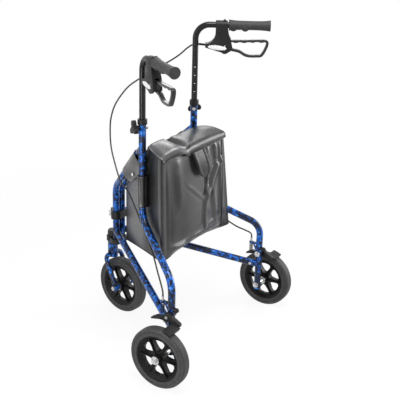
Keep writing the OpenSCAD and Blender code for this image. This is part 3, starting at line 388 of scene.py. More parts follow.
def only(piece):
    """Makes one piece the active and only selected one."""
    if bpy.context.object and bpy.context.object.mode != "OBJECT":
        bpy.ops.object.mode_set(mode="OBJECT")
    bpy.ops.object.select_all(action="DESELECT")
    bpy.context.view_layer.objects.active = piece
    piece.select_set(True)


def apply_modifiers(piece):
    """Applies a piece's modifiers in turn."""
    only(piece)
    for modifier in list(piece.modifiers):
        bpy.ops.object.modifier_apply(modifier=modifier.name)


def sheet_mesh(name, rows, closed_rows=False):
    """Lofts a grid of places; closed_rows joins each row's ends."""
    mesh = bpy.data.meshes.new(name)
    wide = len(rows[0])
    faces = []
    for i in range(len(rows) - 1):
        for k in range(wide if closed_rows else wide - 1):
            a, b = i * wide + k, i * wide + (k + 1) % wide
            faces.append((a, b, b + wide, a + wide))
    mesh.from_pydata([tuple(p) for row in rows for p in row], [], faces)
    piece = bpy.data.objects.new(name, mesh)
    bpy.context.scene.collection.objects.link(piece)
    for polygon in mesh.polygons:
        polygon.use_smooth = True
    return piece


def outward(piece):
    """Joins double places and turns the normals outward."""
    only(piece)
    bpy.ops.object.mode_set(mode="EDIT")
    bpy.ops.mesh.select_all(action="SELECT")
    bpy.ops.mesh.remove_doubles(threshold=1e-6)
    bpy.ops.mesh.normals_make_consistent(inside=False)
    bpy.ops.object.mode_set(mode="OBJECT")


def thicken(piece, wall, offset=0.0):
    """Gives a sheet its wall, about its middle or to one side by offset, and rounds it off."""
    solid = piece.modifiers.new("wall", "SOLIDIFY")
    solid.thickness, solid.offset = wall, offset
    round_off = piece.modifiers.new("round", "SUBSURF")
    round_off.levels = round_off.render_levels = 1
    apply_modifiers(piece)


def mark_painted_shading(piece, tones):
    """Marks each place of a sheet with its painted shading for the vinyl: painted highlight above 0, painted
    shade below 0.
    """
    piece.data.attributes.new("rubbed", "FLOAT", "POINT").data.foreach_set("value", tones)


def tube_mesh(name, path, radius, sides, closed=False):
    """A round tube along a path, with its ends joined or capped."""
    mesh = bpy.data.meshes.new(name)
    n = len(path)
    places, faces = [], []
    carried = None
    for i, p in enumerate(path):
        before = path[(i - 1) % n if closed else max(i - 1, 0)]
        after = path[(i + 1) % n if closed else min(i + 1, n - 1)]
        way = (after - before).normalized()
        if carried is None:
            carried = way.orthogonal()
        carried = (carried - way * carried.dot(way)).normalized()
        other = way.cross(carried)
        for k in range(sides):
            t = 2 * math.pi * k / sides
            places.append(p + radius * (carried * math.cos(t) + other * math.sin(t)))
    for i in range(n if closed else n - 1):
        for k in range(sides):
            a, b = i * sides + k, i * sides + (k + 1) % sides
            c, d = (a + sides) % (n * sides), (b + sides) % (n * sides)
            faces.append((a, b, d, c))
    if not closed:
        faces.append(tuple(range(sides))[::-1])
        faces.append(tuple((n - 1) * sides + k for k in range(sides)))
    mesh.from_pydata([tuple(p) for p in places], [], faces)
    for polygon in mesh.polygons:
        polygon.use_smooth = True
    piece = bpy.data.objects.new(name, mesh)
    bpy.context.scene.collection.objects.link(piece)
    return piece


def smooth_path(points, steps):
    """Catmull-Rom places through points."""
    made = []
    n = len(points) - 1
    for i in range(n):
        a, b, c, d = points[max(i - 1, 0)], points[i], points[i + 1], points[min(i + 2, n)]
        for k in range(steps):
            t = k / steps
            made.append((2 * b + (c - a) * t + (2 * a - 5 * b + 4 * c - d) * t ** 2
                         + (3 * b - a - 3 * c + d) * t ** 3) / 2)
    return made + [points[n]]


def round_edges(piece, width):
    """Adds a bevel for a piece's sharp edges."""
    bevel = piece.modifiers.new("edge", "BEVEL")
    bevel.width, bevel.segments, bevel.limit_method = width, 3, "ANGLE"
    return bevel


def softened(node, width):
    """A copy of a CAD node with its edges rounded, standing for the node."""
    source = frame["nodes"][node]
    piece = bpy.data.objects.new(f"{node}_soft", source.data.copy())
    bpy.context.scene.collection.objects.link(piece)
    only(piece)
    bpy.ops.object.mode_set(mode="EDIT")
    bpy.ops.mesh.select_all(action="SELECT")
    bpy.ops.mesh.remove_doubles(threshold=2e-5)
    bpy.ops.mesh.dissolve_limited(angle_limit=math.radians(1.5))
    bpy.ops.object.mode_set(mode="OBJECT")
    bevel = round_edges(piece, width)
    bevel.angle_limit = EDGE_ANGLE
    bevel.use_clamp_overlap = True
    apply_modifiers(piece)
    bpy.ops.object.shade_smooth_by_angle(angle=EDGE_ANGLE)
    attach(piece, source["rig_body"])
    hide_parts(node)
    return piece


# Pieces

# Cable routes in a side frame, in millimetres: back, inboard and up, the upper ones from the grip axis
CABLE_UPPER = {
    "left": ((241, 13.5, -63), (222, 13.5, -62), (192, 9, -74), (124, 0, -112), (72, -6, -152)),
    "right": (
        (241, -13.5, -63), (224, -13.5, -65), (205, -13, -77), (183, -12.7, -97), (156, -12.5, -116),
        (122, -12, -136), (91, -12, -158))}
CABLE_BIGHT = {
    "left": (
        (26, -10, 725), (0, -12, 686), (-11, -13, 651), (-8, -14, 602), (10, -15, 566), (48, -15, 523),
        (66, -15, 507)),
    "right": (
        (74, -12, 786), (66.5, -12, 750), (65.5, -12, 710), (66, -12.5, 670), (64, -13, 625),
        (61, -14, 578), (62, -15, 541), (70, -15, 513))}
CABLE_LOWER = (
    (84, -15, 493), (130, -6, 472), (187, -2, 432), (253, -2, 392), (322, -3, 346), (376, -8, 306),
    (408, -12.5, 289), (428, -15.6, 278), (434.5, -16.5, 269), (434.8, -16.6, 260.4))


class ROLLATOR_OT_cables(bpy.types.Operator):
    """Lays the brake cables from the housings to the brake arms"""

    bl_idname = "rollator.cables"
    bl_label = "Brake cables"

    def execute(self, context):
        diameter = context.scene.rollator_sizes.cable
        for side in SIDES:
            grip = GRIP_Z[side]
            upper = [(s, y, z + 1000 * grip) for s, y, z in CABLE_UPPER[side]]
            points = [
                frame_place(side, s / 1000, y / 1000, z / 1000)
                for s, y, z in (*upper, *CABLE_BIGHT[side], *CABLE_LOWER)]
            path = smooth_path(points, 8)
            piece = tube_mesh(f"cable_{side}", path, diameter / 2, 12)
            dress(piece, "cable_sheath")
            length = sum((b - a).length for a, b in zip(path, path[1:]))
            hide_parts(f"brake_cable_{side}")
            grip - 0.075
            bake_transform(piece)
        return {"FINISHED"}


class ROLLATOR_OT_springs(bpy.types.Operator):
    """Winds the return springs of the brake arms"""

    bl_idname = "rollator.springs"
    bl_label = "Return springs"

    turns: bpy.props.IntProperty(name="Turns", description="Turns of each spring", default=9)
    wire: distance("Wire", "Wire diameter", 0.0018)

    def execute(self, context):
        per_turn = 24
        for side in SIDES:
            low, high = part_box(f"brake_spring_{side}")
            middle = (low + high) / 2
            radius = (high.x - low.x) / 2 - self.wire / 2
            bottom, top = low.z + self.wire / 2, high.z - self.wire / 2
            rings = per_turn * self.turns
            path = [
                Vector((middle.x + radius * math.cos(2 * math.pi * i / per_turn),
                        middle.y + radius * math.sin(2 * math.pi * i / per_turn),
                        bottom + (top - bottom) * i / rings)) for i in range(rings + 1)]
            piece = tube_mesh(f"spring_{side}", path, self.wire / 2, 8)
            dress(piece, "spring_steel")
            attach(piece, f"{side}_frame")
            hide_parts(f"brake_spring_{side}")
            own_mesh(piece)
        return {"FINISHED"}


def bag_half(context, back):
    """Half width of the bag at a place behind the hinges."""
    return HINGE.y + back * math.tan(SPREAD) - context.scene.rollator_sizes.bag_side_gap


# Bag outline in metres: places behind the hinges, and heights
BAG_FRONT, BAG_SLOPE, BAG_RIDGE, BAG_REAR, BAG_REAR_TOP = 0.048, 0.060, 0.205, 0.303, 0.289
BAG_FRONT_LOW, BAG_LOW, BAG_SLOPE_Z, BAG_TOP, BAG_RIDGE_TOP = 0.272, 0.332, 0.492, 0.640, 0.648
BAG_LIFT, BAG_DROOP = -0.014, 0.014
BAG_WALL, CLOTH_WALL, TAB_WALL = 0.0028, 0.0022, 0.004

# Bulge of the right rear corner in metres: at its top, and how much more at the bottom
BULGE_BACK, BULGE_OUT = (0.003, 0.007), (0.003, 0.016)
CORNER_ROUNDS = (0.010, 0.008, 0.008, 0.012)
PANEL_STEPS = (30, 10, 26, 72)

# Creases on the rear panel: from and to as shares across and up, width and depth in metres
REAR_CREASES = (
    ((0.995, 0.76), (0.885, 0.68), 0.009, 0.0060), ((0.90, 0.70), (0.755, 0.52), 0.010, 0.0080),
    ((0.77, 0.54), (0.662, 0.37), 0.009, 0.0080), ((0.664, 0.40), (0.650, 0.08), 0.008, 0.0055),
    ((0.705, 0.68), (0.700, 0.42), 0.008, 0.0060), ((0.34, 0.64), (0.645, 0.385), 0.006, 0.0016),
    ((0.72, 0.95), (0.725, 0.80), 0.010, 0.0060), ((0.86, 0.95), (0.885, 0.72), 0.010, 0.0060),
    ((0.20, 0.97), (0.24, 0.45), 0.020, 0.0030), ((0.045, 0.96), (0.05, 0.04), 0.008, 0.0014),
    ((0.955, 0.95), (0.965, 0.08), 0.008, 0.0045), ((0.80, 0.50), (0.86, 0.12), 0.016, 0.0040),
    ((0.02, 0.03), (0.35, 0.06), 0.010, 0.0050), ((0.05, 0.10), (0.30, 0.03), 0.010, 0.0040),
    ((0.36, 0.05), (0.95, 0.06), 0.010, 0.0050), ((0.60, 0.10), (0.97, 0.12), 0.008, 0.0030))

# Painted highlights (strength above 0) and painted shade (strength below 0) on the rear panel: from and to as
# above, width in metres, strength
REAR_TONES = (
    ((0.705, 0.66), (0.695, 0.42), 0.006, 1.0), ((0.72, 0.93), (0.725, 0.82), 0.007, 1.0),
    ((0.86, 0.90), (0.885, 0.74), 0.006, 0.7), ((0.97, 0.70), (0.98, 0.04), 0.005, 0.8),
    ((0.20, 0.93), (0.22, 0.78), 0.018, 0.5), ((0.08, 0.01), (0.50, 0.03), 0.006, 0.8),
    ((0.45, 0.02), (0.97, 0.04), 0.005, 0.7), ((0.34, 0.64), (0.645, 0.385), 0.004, 0.4),
    ((0.658, 0.37), (0.65, 0.10), 0.004, 0.5), ((0.885, 0.68), (0.66, 0.38), 0.006, 0.6),
    ((0.683, 0.66), (0.672, 0.40), 0.005, -0.9), ((0.93, 0.65), (0.73, 0.38), 0.015, -0.7),
    ((0.06, 0.95), (0.08, 0.05), 0.026, -0.5), ((0.26, 0.97), (0.27, 0.00), 0.070, -0.50))


def crease_run(across, up, width, height, crease):
    """How far a place lies along a crease as a faded share, and off it in metres."""
    (a0, b0), (a1, b1) = crease
    ax, ay, px, py = a0 * width, b0 * height, across * width, up * height
    dx, dy = a1 * width - ax, b1 * height - ay
    t = ((px - ax) * dx + (py - ay) * dy) / (dx * dx + dy * dy)
    fade = max(0.0, min(1.0, (t + 0.12) / 0.3)) * max(0.0, min(1.0, (1.12 - t) / 0.3))
    return fade, ((px - ax) * dy - (py - ay) * dx) / math.hypot(dx, dy)


def crease_depth(across, up, width, height):
    """Ridges and hollows of the rear panel's creases at a place."""
    depth = 0.0
    for start, end, wide, deep in REAR_CREASES:
        fade, off = crease_run(across, up, width, height, (start, end))
        ridge = math.exp(-(off / wide) ** 2)
        hollow = math.exp(-((off - 1.6 * wide) / wide) ** 2)
        depth += deep * fade * (ridge - 0.7 * hollow)
    return depth * (1 - smooth_share(up, 0.88, 0.97))


def rubbed(across, up, width, height):
    """Painted highlight (above 0) and painted shade (below 0) on the rear panel at a place."""
    tone = 0.0
    for start, end, wide, strength in REAR_TONES:
        fade, off = crease_run(across, up, width, height, (start, end))
        tone += strength * fade * math.exp(-(off / wide) ** 2)
    return tone


def smooth_share(value, low, high):
    """0 at low, 1 at high, smooth between."""
    t = max(0.0, min(1.0, (value - low) / (high - low)))
    return t * t * (3 - 2 * t)


def front_edge(up):
    """Front edge of the bag at a share of its height: behind the hinges, and up."""
    z = BAG_FRONT_LOW + (BAG_RIDGE_TOP - BAG_FRONT_LOW) * up
    back = BAG_FRONT + (BAG_SLOPE - BAG_FRONT) * smooth_share(z, BAG_SLOPE_Z - 0.03, BAG_SLOPE_Z)
    slope = max(0.0, (z - BAG_SLOPE_Z) / (BAG_RIDGE_TOP - BAG_SLOPE_Z))
    return back + (BAG_RIDGE - BAG_SLOPE) * slope, z


def bag_outline(corners, rounds):
    """Places round a four-sided outline with rounded corners, each with its panel and share along it."""
    outline = []
    here = [Vector(c) for c in corners]
    for i in range(4):
        cuts = []
        for a, b, c, r in (
                (here[i - 1], here[i], here[(i + 1) % 4], rounds[i]),
                (here[i], here[(i + 1) % 4], here[(i + 2) % 4], rounds[(i + 1) % 4])):
            room = 0.35 * min((a - b).length, (c - b).length)
            set_back = min(r / math.tan((a - b).angle(c - b) / 2), room)
            cuts.append((b + (a - b).normalized() * set_back, b + (c - b).normalized() * set_back))
        (first, last), (end, _) = cuts
        for k in range(7):
            t = k / 6
            outline.append(((1 - t) ** 2 * first + 2 * t * (1 - t) * here[i] + t * t * last, None))
        outline += [
            (last.lerp(end, k / PANEL_STEPS[i]), (i, k / PANEL_STEPS[i])) for k in range(1, PANEL_STEPS[i])]
    return outline


def bag_ring(context, up):
    """Places round the bag at a share of its height from the rear left corner, and their painted shading."""
    swell = context.scene.rollator_sizes.bag_bulge * math.sin(math.pi * min(1, max(0, up))) ** 0.7
    front, front_z = front_edge(up)
    rear = BAG_REAR + (BAG_REAR_TOP - BAG_REAR) * up
    rear_z = BAG_LOW + (BAG_TOP - BAG_LOW) * up
    wide = bag_half(context, rear)
    corners = [
        (rear, wide), (front, bag_half(context, front)), (front, -bag_half(context, front)), (rear, -wide)]
    ring, tones = [], []
    for p, where in bag_outline(corners, CORNER_ROUNDS):
        back, out = p
        tone = 0.0
        share = max(0.0, min(1.0, (back - front) / (rear - front)))
        z = front_z + (rear_z - front_z) * share + BAG_LIFT * (out / wide) ** 2 * (1 - up)
        z -= BAG_DROOP * up ** 3 * smooth_share(-out / wide, 0.55, 1.0)
        corner = smooth_share(share, 0.82, 1.0) * smooth_share(-out / wide, 0.80, 1.0)
        back += corner * (BULGE_BACK[0] + BULGE_BACK[1] * (1 - up))
        out -= corner * (BULGE_OUT[0] + BULGE_OUT[1] * (1 - up))
        if where is None:
            # Painted shade on the bulging right rear corner
            tone = -0.9 * smooth_share(corner, 0.3, 0.8)
        else:
            panel, t = where
            puff = swell * math.sin(math.pi * t) ** 0.8
            if panel == 3:
                back += 0.9 * puff + crease_depth(1 - t, up, 2 * wide, BAG_TOP - BAG_LOW)
                # Painted highlights and painted shade along the rear panel's creases, and painted shade on
                # the strip beyond its right seam
                tone = rubbed(1 - t, up, 2 * wide, BAG_TOP - BAG_LOW)
                tone -= 0.9 * smooth_share(0.045 - 0.03 * up - t, 0.0, 0.01)
            elif panel == 1:
                back -= 0.5 * puff
            else:
                out += math.copysign(0.25 * puff, out)
            if panel == 0:
                # Painted highlight on the lower front of the left side, and painted shade on its rear part
                tone = 0.25 * smooth_share(t, 0.5, 0.75) * (1 - smooth_share(up, 0.45, 0.8))
                tone -= 0.7 * (1 - smooth_share(t, 0.35, 0.6))
            elif panel == 2:
                # Painted shade over the whole right side
                tone = -0.9
        ring.append(Vector((HINGE.x - back, out, z)))
        tones.append(tone)
    return ring, tones


class ROLLATOR_OT_bag(bpy.types.Operator):
    """Sews the bag: its sagging body with piped edges"""

    bl_idname = "rollator.bag"
    bl_label = "Bag body"

    def execute(self, context):
        steps, sag = 72, 0.010
        rings, tones = zip(*(bag_ring(context, i / steps) for i in range(steps + 1)))
        middle = sum(rings[0], Vector()) / len(rings[0])
        bottom = []
        for share in (0.0, 0.25, 0.5, 0.75, 0.92):
            bottom.append([middle.lerp(p, share) - Vector((0, 0, sag * (1 - share ** 2))) for p in rings[0]])
        body = sheet_mesh("bag_shell", [*bottom, *rings], closed_rows=True)
        # Painted shading of the body: the rings carry it, and the bottom is left at 0
        mark_painted_shading(body, [0.0] * len(bottom) * len(rings[0]) + [t for row in tones for t in row])
        outward(body)
        thicken(body, BAG_WALL, offset=-1.0)
        dress(body, "bag_fabric")
        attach(body, "front_column")
        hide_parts("bag_body")
        self.squash(body)
        self.piping(context, rings)
        return {"FINISHED"}

    def squash(self, piece):
        """Gives a piece of the bag its own mesh."""
        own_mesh(piece)

    def piping(self, context, rings):
        """Rolled piping down the rear seams and round the bottom."""
        radius = context.scene.rollator_sizes.piping
        first = len(rings[0]) - PANEL_STEPS[3]
        paths = {"bag_piping_left": [ring[3] for ring in rings[::2]], "bag_piping_right": []}
        for i, ring in enumerate(rings[::2]):
            place = first + 3.5 - 3 * 2 * i / len(rings)
            paths["bag_piping_right"].append(ring[int(place)].lerp(ring[int(place) + 1], place % 1))
        paths["bag_piping_bottom"] = rings[1]
        for name, path in paths.items():
            piece = tube_mesh(name, path, radius, 8, closed=name.endswith("bottom"))
            dress(piece, "bag_binding")
            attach(piece, "front_column")
            self.squash(piece)


# Flap in metres: its front edge behind the hinges, the bend over the rear edge, its stand off the bag,
# the set-in of its right edge at the front and more at the hem, the hem's lift left and right, its sink,
# how far the hem and its left lip stand out, and the radius of the binding
FLAP_FRONT, FLAP_TURN, FLAP_STAND = 0.207, 0.010, 0.004
SET_IN, SET_IN_HEM = 0.003, 0.010
HEM_LEFT, HEM_RIGHT, HEM_SINK = 0.016, 0.010, 0.006
HEM_OUT, LIP_OUT, BINDING_RADIUS = 0.003, 0.013, 0.0018

# Folds of the flap: middle across, shift towards the hem, width, height at the front, halfway and at the hem
FLAP_FOLDS = (
    (0.80, 0.00, 0.110, 0.002, 0.010, 0.004), (0.595, 0.03, 0.050, -0.012, -0.012, -0.004),
    (0.40, 0.00, 0.120, -0.004, 0.002, 0.000), (0.10, 0.00, 0.200, -0.002, 0.010, 0.000),
    (0.99, 0.00, 0.040, -0.004, -0.008, -0.006))


def flap_place(context, across, along):
    """A place on the flap: across from right 0 to left 1, along from its front edge 0 to its hem 1."""
    drop = context.scene.rollator_sizes.flap_drop
    rear = BAG_REAR_TOP + FLAP_STAND
    top, bend = rear - FLAP_TURN - FLAP_FRONT, FLAP_TURN * math.pi / 2
    run = along * (top + bend + drop)
    if run < top:
        back, up = FLAP_FRONT + run, 0.0
    elif run < top + bend:
        a = (run - top) / FLAP_TURN
        back, up = rear - FLAP_TURN * (1 - math.sin(a)), -FLAP_TURN * (1 - math.cos(a))
    else:
        back, up = rear, -FLAP_TURN - (run - top - bend)
    share = min(1, (back - FLAP_FRONT) / (rear - FLAP_FRONT))
    hang = max(0.0, (run - top) / (bend + drop))
    half = bag_half(context, back) + 0.001
    y = half - (1 - across) * (2 * half - SET_IN - SET_IN_HEM * share ** 2)
    z = BAG_RIDGE_TOP + FLAP_STAND + (BAG_TOP - BAG_RIDGE_TOP) * share + up
    for middle, shift, wide, front, halfway, hem in FLAP_FOLDS:
        high = front * (1 - share) * (1 - 2 * share) + 4 * halfway * share * (1 - share) + hem * share * (
            2 * share - 1)
        z += high * math.exp(-((across - middle - shift * share) / wide) ** 2)
    left = smooth_share(across, 0.58, 0.76)
    lip = left * (1 - 0.6 * smooth_share(across, 0.76, 0.95))
    right = smooth_share(1 - across, 0.70, 1.0)
    back += hang * (HEM_OUT + LIP_OUT * lip)
    z += hang * (HEM_LEFT * left + HEM_RIGHT * right) - HEM_SINK * right * share ** 2
    return Vector((HINGE.x - back, y, z))


def flap_tone(across, along):
    """Painted highlight (above 0) and painted shade (below 0) on the flap at a place: a painted highlight on
    its left part, painted shade on its right part and along the hem.
    """
    left = smooth_share(across, 0.60, 0.80)
    right = 1 - smooth_share(across, 0.40, 0.62)
    return 0.35 * left - 0.45 * right - 0.9 * smooth_share(along, 0.88, 0.95)


# Closing tab in metres: its bow, how far its end stands out and leans right, its crown and raised edges
TAB_BOW, TAB_OUT, TAB_LEAN, TAB_CROWN, TAB_RIDGE = 0.004, 0.013, 0.027, 0.0015, 0.0036


class ROLLATOR_OT_flap(bpy.types.Operator):
    """Sews the bag's flap, its binding and its closing tab"""

    bl_idname = "rollator.flap"
    bl_label = "Bag flap"

    def execute(self, context):
        across, along = 90, 40
        rows = [
            [flap_place(context, k / across, i / along) for k in range(across + 1)] for i in range(along + 1)]
        flap = sheet_mesh("flap_sheet", rows)
        # Painted shading of the flap
        mark_painted_shading(
            flap, [flap_tone(k / across, i / along) for i in range(along + 1) for k in range(across + 1)])
        area = sum(p.area for p in flap.data.polygons)
        outward(flap)
        thicken(flap, CLOTH_WALL)
        edge = rows[-1] + [row[-1] for row in rows[-2::-1]] + rows[0][-2::-1] + [row[0] for row in rows[1:-1]]
        binding = tube_mesh("flap_binding", edge, BINDING_RADIUS, 8, closed=True)
        tab = self.tab(context)
        for piece, material in ((flap, "bag_fabric"), (binding, "bag_binding"), (tab, "bag_binding")):
            dress(piece, material)
            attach(piece, "bag_flap")
            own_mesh(piece)
        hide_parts("bag_flap")
        wide = 2 * bag_half(context, BAG_REAR)
        middle, turn = across // 2, 0.03
        long = (rows[0][middle] - rows[-1][middle]).length + turn
        max(long, area / wide / 0.98)
        return {"FINISHED"}

    def tab(self, context):
        """Closing tab with a rounded end, standing out from the rear panel."""
        sizes = context.scene.rollator_sizes
        width, length, rows, steps, across = sizes.tab_width, sizes.tab_length, [], 30, 16
        start, end = Vector((HINGE.x - BAG_REAR_TOP - 0.0085, -0.006, 0.622)), 0.42 * width
        for i in range(steps + 1):
            t = i / steps
            reach = t * length
            round_off = max(0.0, (reach - length + end) / end)
            half = width / 2 * max(0.02, math.sqrt(max(0.0, 1 - round_off ** 2))) * (1 - 0.06 * t)
            out = TAB_BOW * math.sin(math.pi * t) + TAB_OUT * t
            row = []
            for k in range(across + 1):
                side = 2 * k / across - 1
                curl = TAB_CROWN * (1 - side ** 2) + TAB_RIDGE * math.exp(-((abs(side) - 0.78) / 0.11) ** 2)
                row.append(start + Vector((-out - curl, -TAB_LEAN * t + half * side, -reach)))
            rows.append(row)
        piece = sheet_mesh("flap_tab", rows)
        # Painted highlights along the tab's raised right and left edges
        tones = []
        for k in range(across + 1):
            side = 2 * k / across - 1
            right_edge = math.exp(-((side + 0.8) / 0.16) ** 2)
            left_edge = math.exp(-((side - 0.8) / 0.08) ** 2)
            tones.append(1.2 * right_edge + 0.6 * left_edge)
        mark_painted_shading(piece, tones * (steps + 1))
        outward(piece)
        thicken(piece, TAB_WALL)
        return piece


# Bag straps in metres: the loop on the sleeve, the wrap along the upper rail, and its press stud
LOOP_LOW, LOOP_HIGH, LOOP_RADIUS = 0.462, 0.561, 0.0134
WRAP_START, WRAP_LENGTH, WRAP_RADIUS, SLEEVE_CLEAR = 0.132, 0.134, 0.0132, 0.0135
STUD_RUN, STUD_BELOW, STUD_OUT, STUD_RADIUS = 0.188, 0.036, 0.0068, 0.0055
RAIL_LOW, RAIL_SLOPE = 0.447, math.atan2(0.200, POST_REACH)


def rail_place(side, run, below, inboard):
    """A place by the upper rail: along it, square below it and inboard of it."""
    back = run * math.cos(RAIL_SLOPE) + below * math.sin(RAIL_SLOPE)
    up = RAIL_LOW + run * math.sin(RAIL_SLOPE) - below * math.cos(RAIL_SLOPE)
    return frame_place(side, back, inboard, up)


class ROLLATOR_OT_straps(bpy.types.Operator):
    """Sews the loops that hold the bag on the sleeves and upper rails"""

    bl_idname = "rollator.straps"
    bl_label = "Bag straps"

    def execute(self, context):
        for side in SIDES:
            loop = self.sleeve_loop(side)
            wrap = self.rail_wrap(side)
            snap = self.snap(side)
            for piece in (loop, wrap):
                dress(piece, "strap_fabric")
                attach(piece, f"{side}_frame")
            dress(snap, "zinc")
            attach(snap, f"{side}_frame")
            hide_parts(f"bag_strap_{side}")
        return {"FINISHED"}

    def sleeve_loop(self, side):
        """A sewn sock round the frame's sleeve, drawn in to the bag's side."""
        rows, around = [], 56
        for i in range(25):
            t = i / 24
            hem = 0.0008 * (math.exp(-(t / 0.06) ** 2) + math.exp(-((1 - t) / 0.06) ** 2))
            ring = []
            for k in range(around):
                a = 2 * math.pi * k / around
                towards = max(0.0, math.cos(a - math.radians(70)))
                fold = 0.0009 * math.cos(6 * a + 1.2 + 0.8 * t) * math.sin(math.pi * t) ** 0.3
                radius = LOOP_RADIUS + hem + fold + 0.0030 * towards ** 5
                back, up = POST_REACH + radius * math.cos(a), LOOP_LOW + (LOOP_HIGH - LOOP_LOW) * t
                ring.append(frame_place(side, back, radius * math.sin(a), up))
            rows.append(ring)
        piece = sheet_mesh(f"sleeve_loop_{side}", rows, closed_rows=True)
        outward(piece)
        thicken(piece, CLOTH_WALL)
        return piece

    def rail_wrap(self, side):
        """A strap laid over the upper rail, its two layers hanging below it and pressed together."""
        rows, pressed = [], 0.0030
        for i in range(29):
            t = i / 28
            run = WRAP_START + WRAP_LENGTH * t
            hang = 0.026 + 0.022 * math.sqrt(1 - (1 - min(1, t / 0.30)) ** 2) + 0.008 * t
            # The wrap's corner stays in front of the sleeve, where the post slides
            room = (POST_REACH - SLEEVE_CLEAR - run * math.cos(RAIL_SLOPE)) / math.sin(RAIL_SLOPE)
            hang = min(hang, room)
            layers = []
            for layer in (1, -1):
                fall = []
                for k in range(14):
                    d = k / 13
                    below = hang + (0.004 - hang) * d
                    width = pressed + (WRAP_RADIUS - pressed) * smooth_share(below, 0.040, 0.004)
                    fall.append((below, layer * (width + 0.0012 * math.sin(7 * t + 3 * d))))
                layers.append(fall)
            over = [
                (-WRAP_RADIUS * math.cos(a), WRAP_RADIUS * math.sin(a))
                for a in (math.radians(84 - 168 * k / 14) for k in range(15))]
            section = layers[0] + over + layers[1][::-1]
            rows.append([rail_place(side, run, below, inboard) for below, inboard in section])
        piece = sheet_mesh(f"rail_wrap_{side}", rows)
        outward(piece)
        thicken(piece, CLOTH_WALL)
        return piece

    def snap(self, side):
        """Press stud on the rail wrap."""
        place = rail_place(side, STUD_RUN, STUD_BELOW, -STUD_OUT)
        bpy.ops.object.select_all(action="DESELECT")
        bpy.ops.mesh.primitive_uv_sphere_add(segments=24, ring_count=12, radius=STUD_RADIUS, location=place)
        piece = bpy.context.object
        piece.name = f"wrap_snap_{side}"
        normal = (frame_place(side, 0, -1, 0) - frame_place(side, 0, 0, 0)).normalized()
        bpy.ops.object.mode_set(mode="EDIT")
        bpy.ops.mesh.select_all(action="SELECT")
        bpy.ops.mesh.bisect(plane_co=place, plane_no=normal, clear_inner=True, use_fill=True)
        bpy.ops.object.mode_set(mode="OBJECT")
        flat = Matrix.Scale(0.55, 4, normal)
        piece.data.transform(flat)
        bpy.ops.object.transform_apply(location=True, rotation=True, scale=True)
        bpy.ops.object.shade_smooth_by_angle(angle=TRIM_ANGLE)
        return piece


# Bare plates in metres: behind the post, below the grip, out from the housing's middle, and their thickness
PLATE_BACK, PLATE_BELOW, PLATE_OUT, PLATE_WALL = 0.067, 0.068, 0.0142, 0.0022
PLATE_TILT, PLATE_EDGE = math.radians(-5), 0.0007


class ROLLATOR_OT_plates(bpy.types.Operator):
    """Sets the bare oval plates on the brake housings"""

    bl_idname = "rollator.plates"
    bl_label = "Oval plates"

    def execute(self, context):
        sizes = context.scene.rollator_sizes
        for side in SIDES:
            here = frame_place(side, 0, 0, 0)
            back = (frame_place(side, 1, 0, 0) - here).normalized()
            along = (back * math.cos(PLATE_TILT) + Vector((0, 0, 1)) * math.sin(PLATE_TILT)).normalized()
            for face, way in (("in", 1), ("out", -1)):
                bpy.ops.object.select_all(action="DESELECT")
                bpy.ops.mesh.primitive_cylinder_add(vertices=48, radius=0.5, depth=PLATE_WALL)
                piece = bpy.context.object
                piece.name = f"housing_plate_{side}_{face}"
                bpy.ops.transform.resize(value=(sizes.badge_length, sizes.badge_height, 1))
                bpy.ops.object.transform_apply(location=True, rotation=True, scale=True)
                out = (frame_place(side, 0, way, 0) - here).normalized()
                up = out.cross(along)
                place = frame_place(
                    side, POST_REACH + PLATE_BACK, way * PLATE_OUT, GRIP_Z[side] - PLATE_BELOW)
                turn = Matrix((along, up, out)).transposed().to_4x4()
                piece.data.transform(Matrix.Translation(place) @ turn)
                round_edges(piece, PLATE_EDGE)
                apply_modifiers(piece)
                bpy.ops.object.shade_smooth_by_angle(angle=TRIM_ANGLE)
                dress(piece, "white_plate")
                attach(piece, f"{side}_handle")
        return {"FINISHED"}


class ROLLATOR_OT_solids(bpy.types.Operator):
    """Finishes the solids and rounds the edges of the mouldings"""

    bl_idname = "rollator.solids"
    bl_label = "Solids"

    def execute(self, context):
        slots = {s["node"]: s["material_slot"] for s in frame["record"]["subparts"]}
        rounded = {"upper_hinge_block": 0.0025, "lower_hinge_block": 0.0025}
        for side in SIDES:
            rounded.update({
                f"brake_housing_{side}": 0.0035, f"brake_lever_{side}": 0.0026, f"brake_arm_{side}": 0.0018,
                f"clamp_knob_{side}": 0.0022, f"sleeve_collar_{side}": 0.0014})
        own = {"brake_lever": "lever_black", "front_rim": "rim_black", "rear_rim": "rim_black"}
        for name, node in frame["nodes"].items():
            piece = softened(name, rounded[name]) if name in rounded else node
            stem = name.removesuffix("_left").removesuffix("_right")
            dress(piece, own.get(stem, slots[name]))
        return {"FINISHED"}


# Lamps: name, place, width, height and power
LAMPS = (
    ("key", (-0.7, 0.5, 2.8), 1.4, 1.4, 56), ("fill", (1.7, 2.3, 1.5), 1.8, 1.8, 14),
    ("low", (-1.3, -2.0, 0.95), 1.2, 1.2, 34), ("back", (1.3, -2.0, 1.8), 1.1, 0.9, 10),
    ("strip", (0.05, 1.4, 0.42), 0.12, 0.85, 6))
LAMPS_AIM = Vector((0, 0, 0.5))
SOFT_LIGHT, WHITE = 0.26, (1, 1, 1)


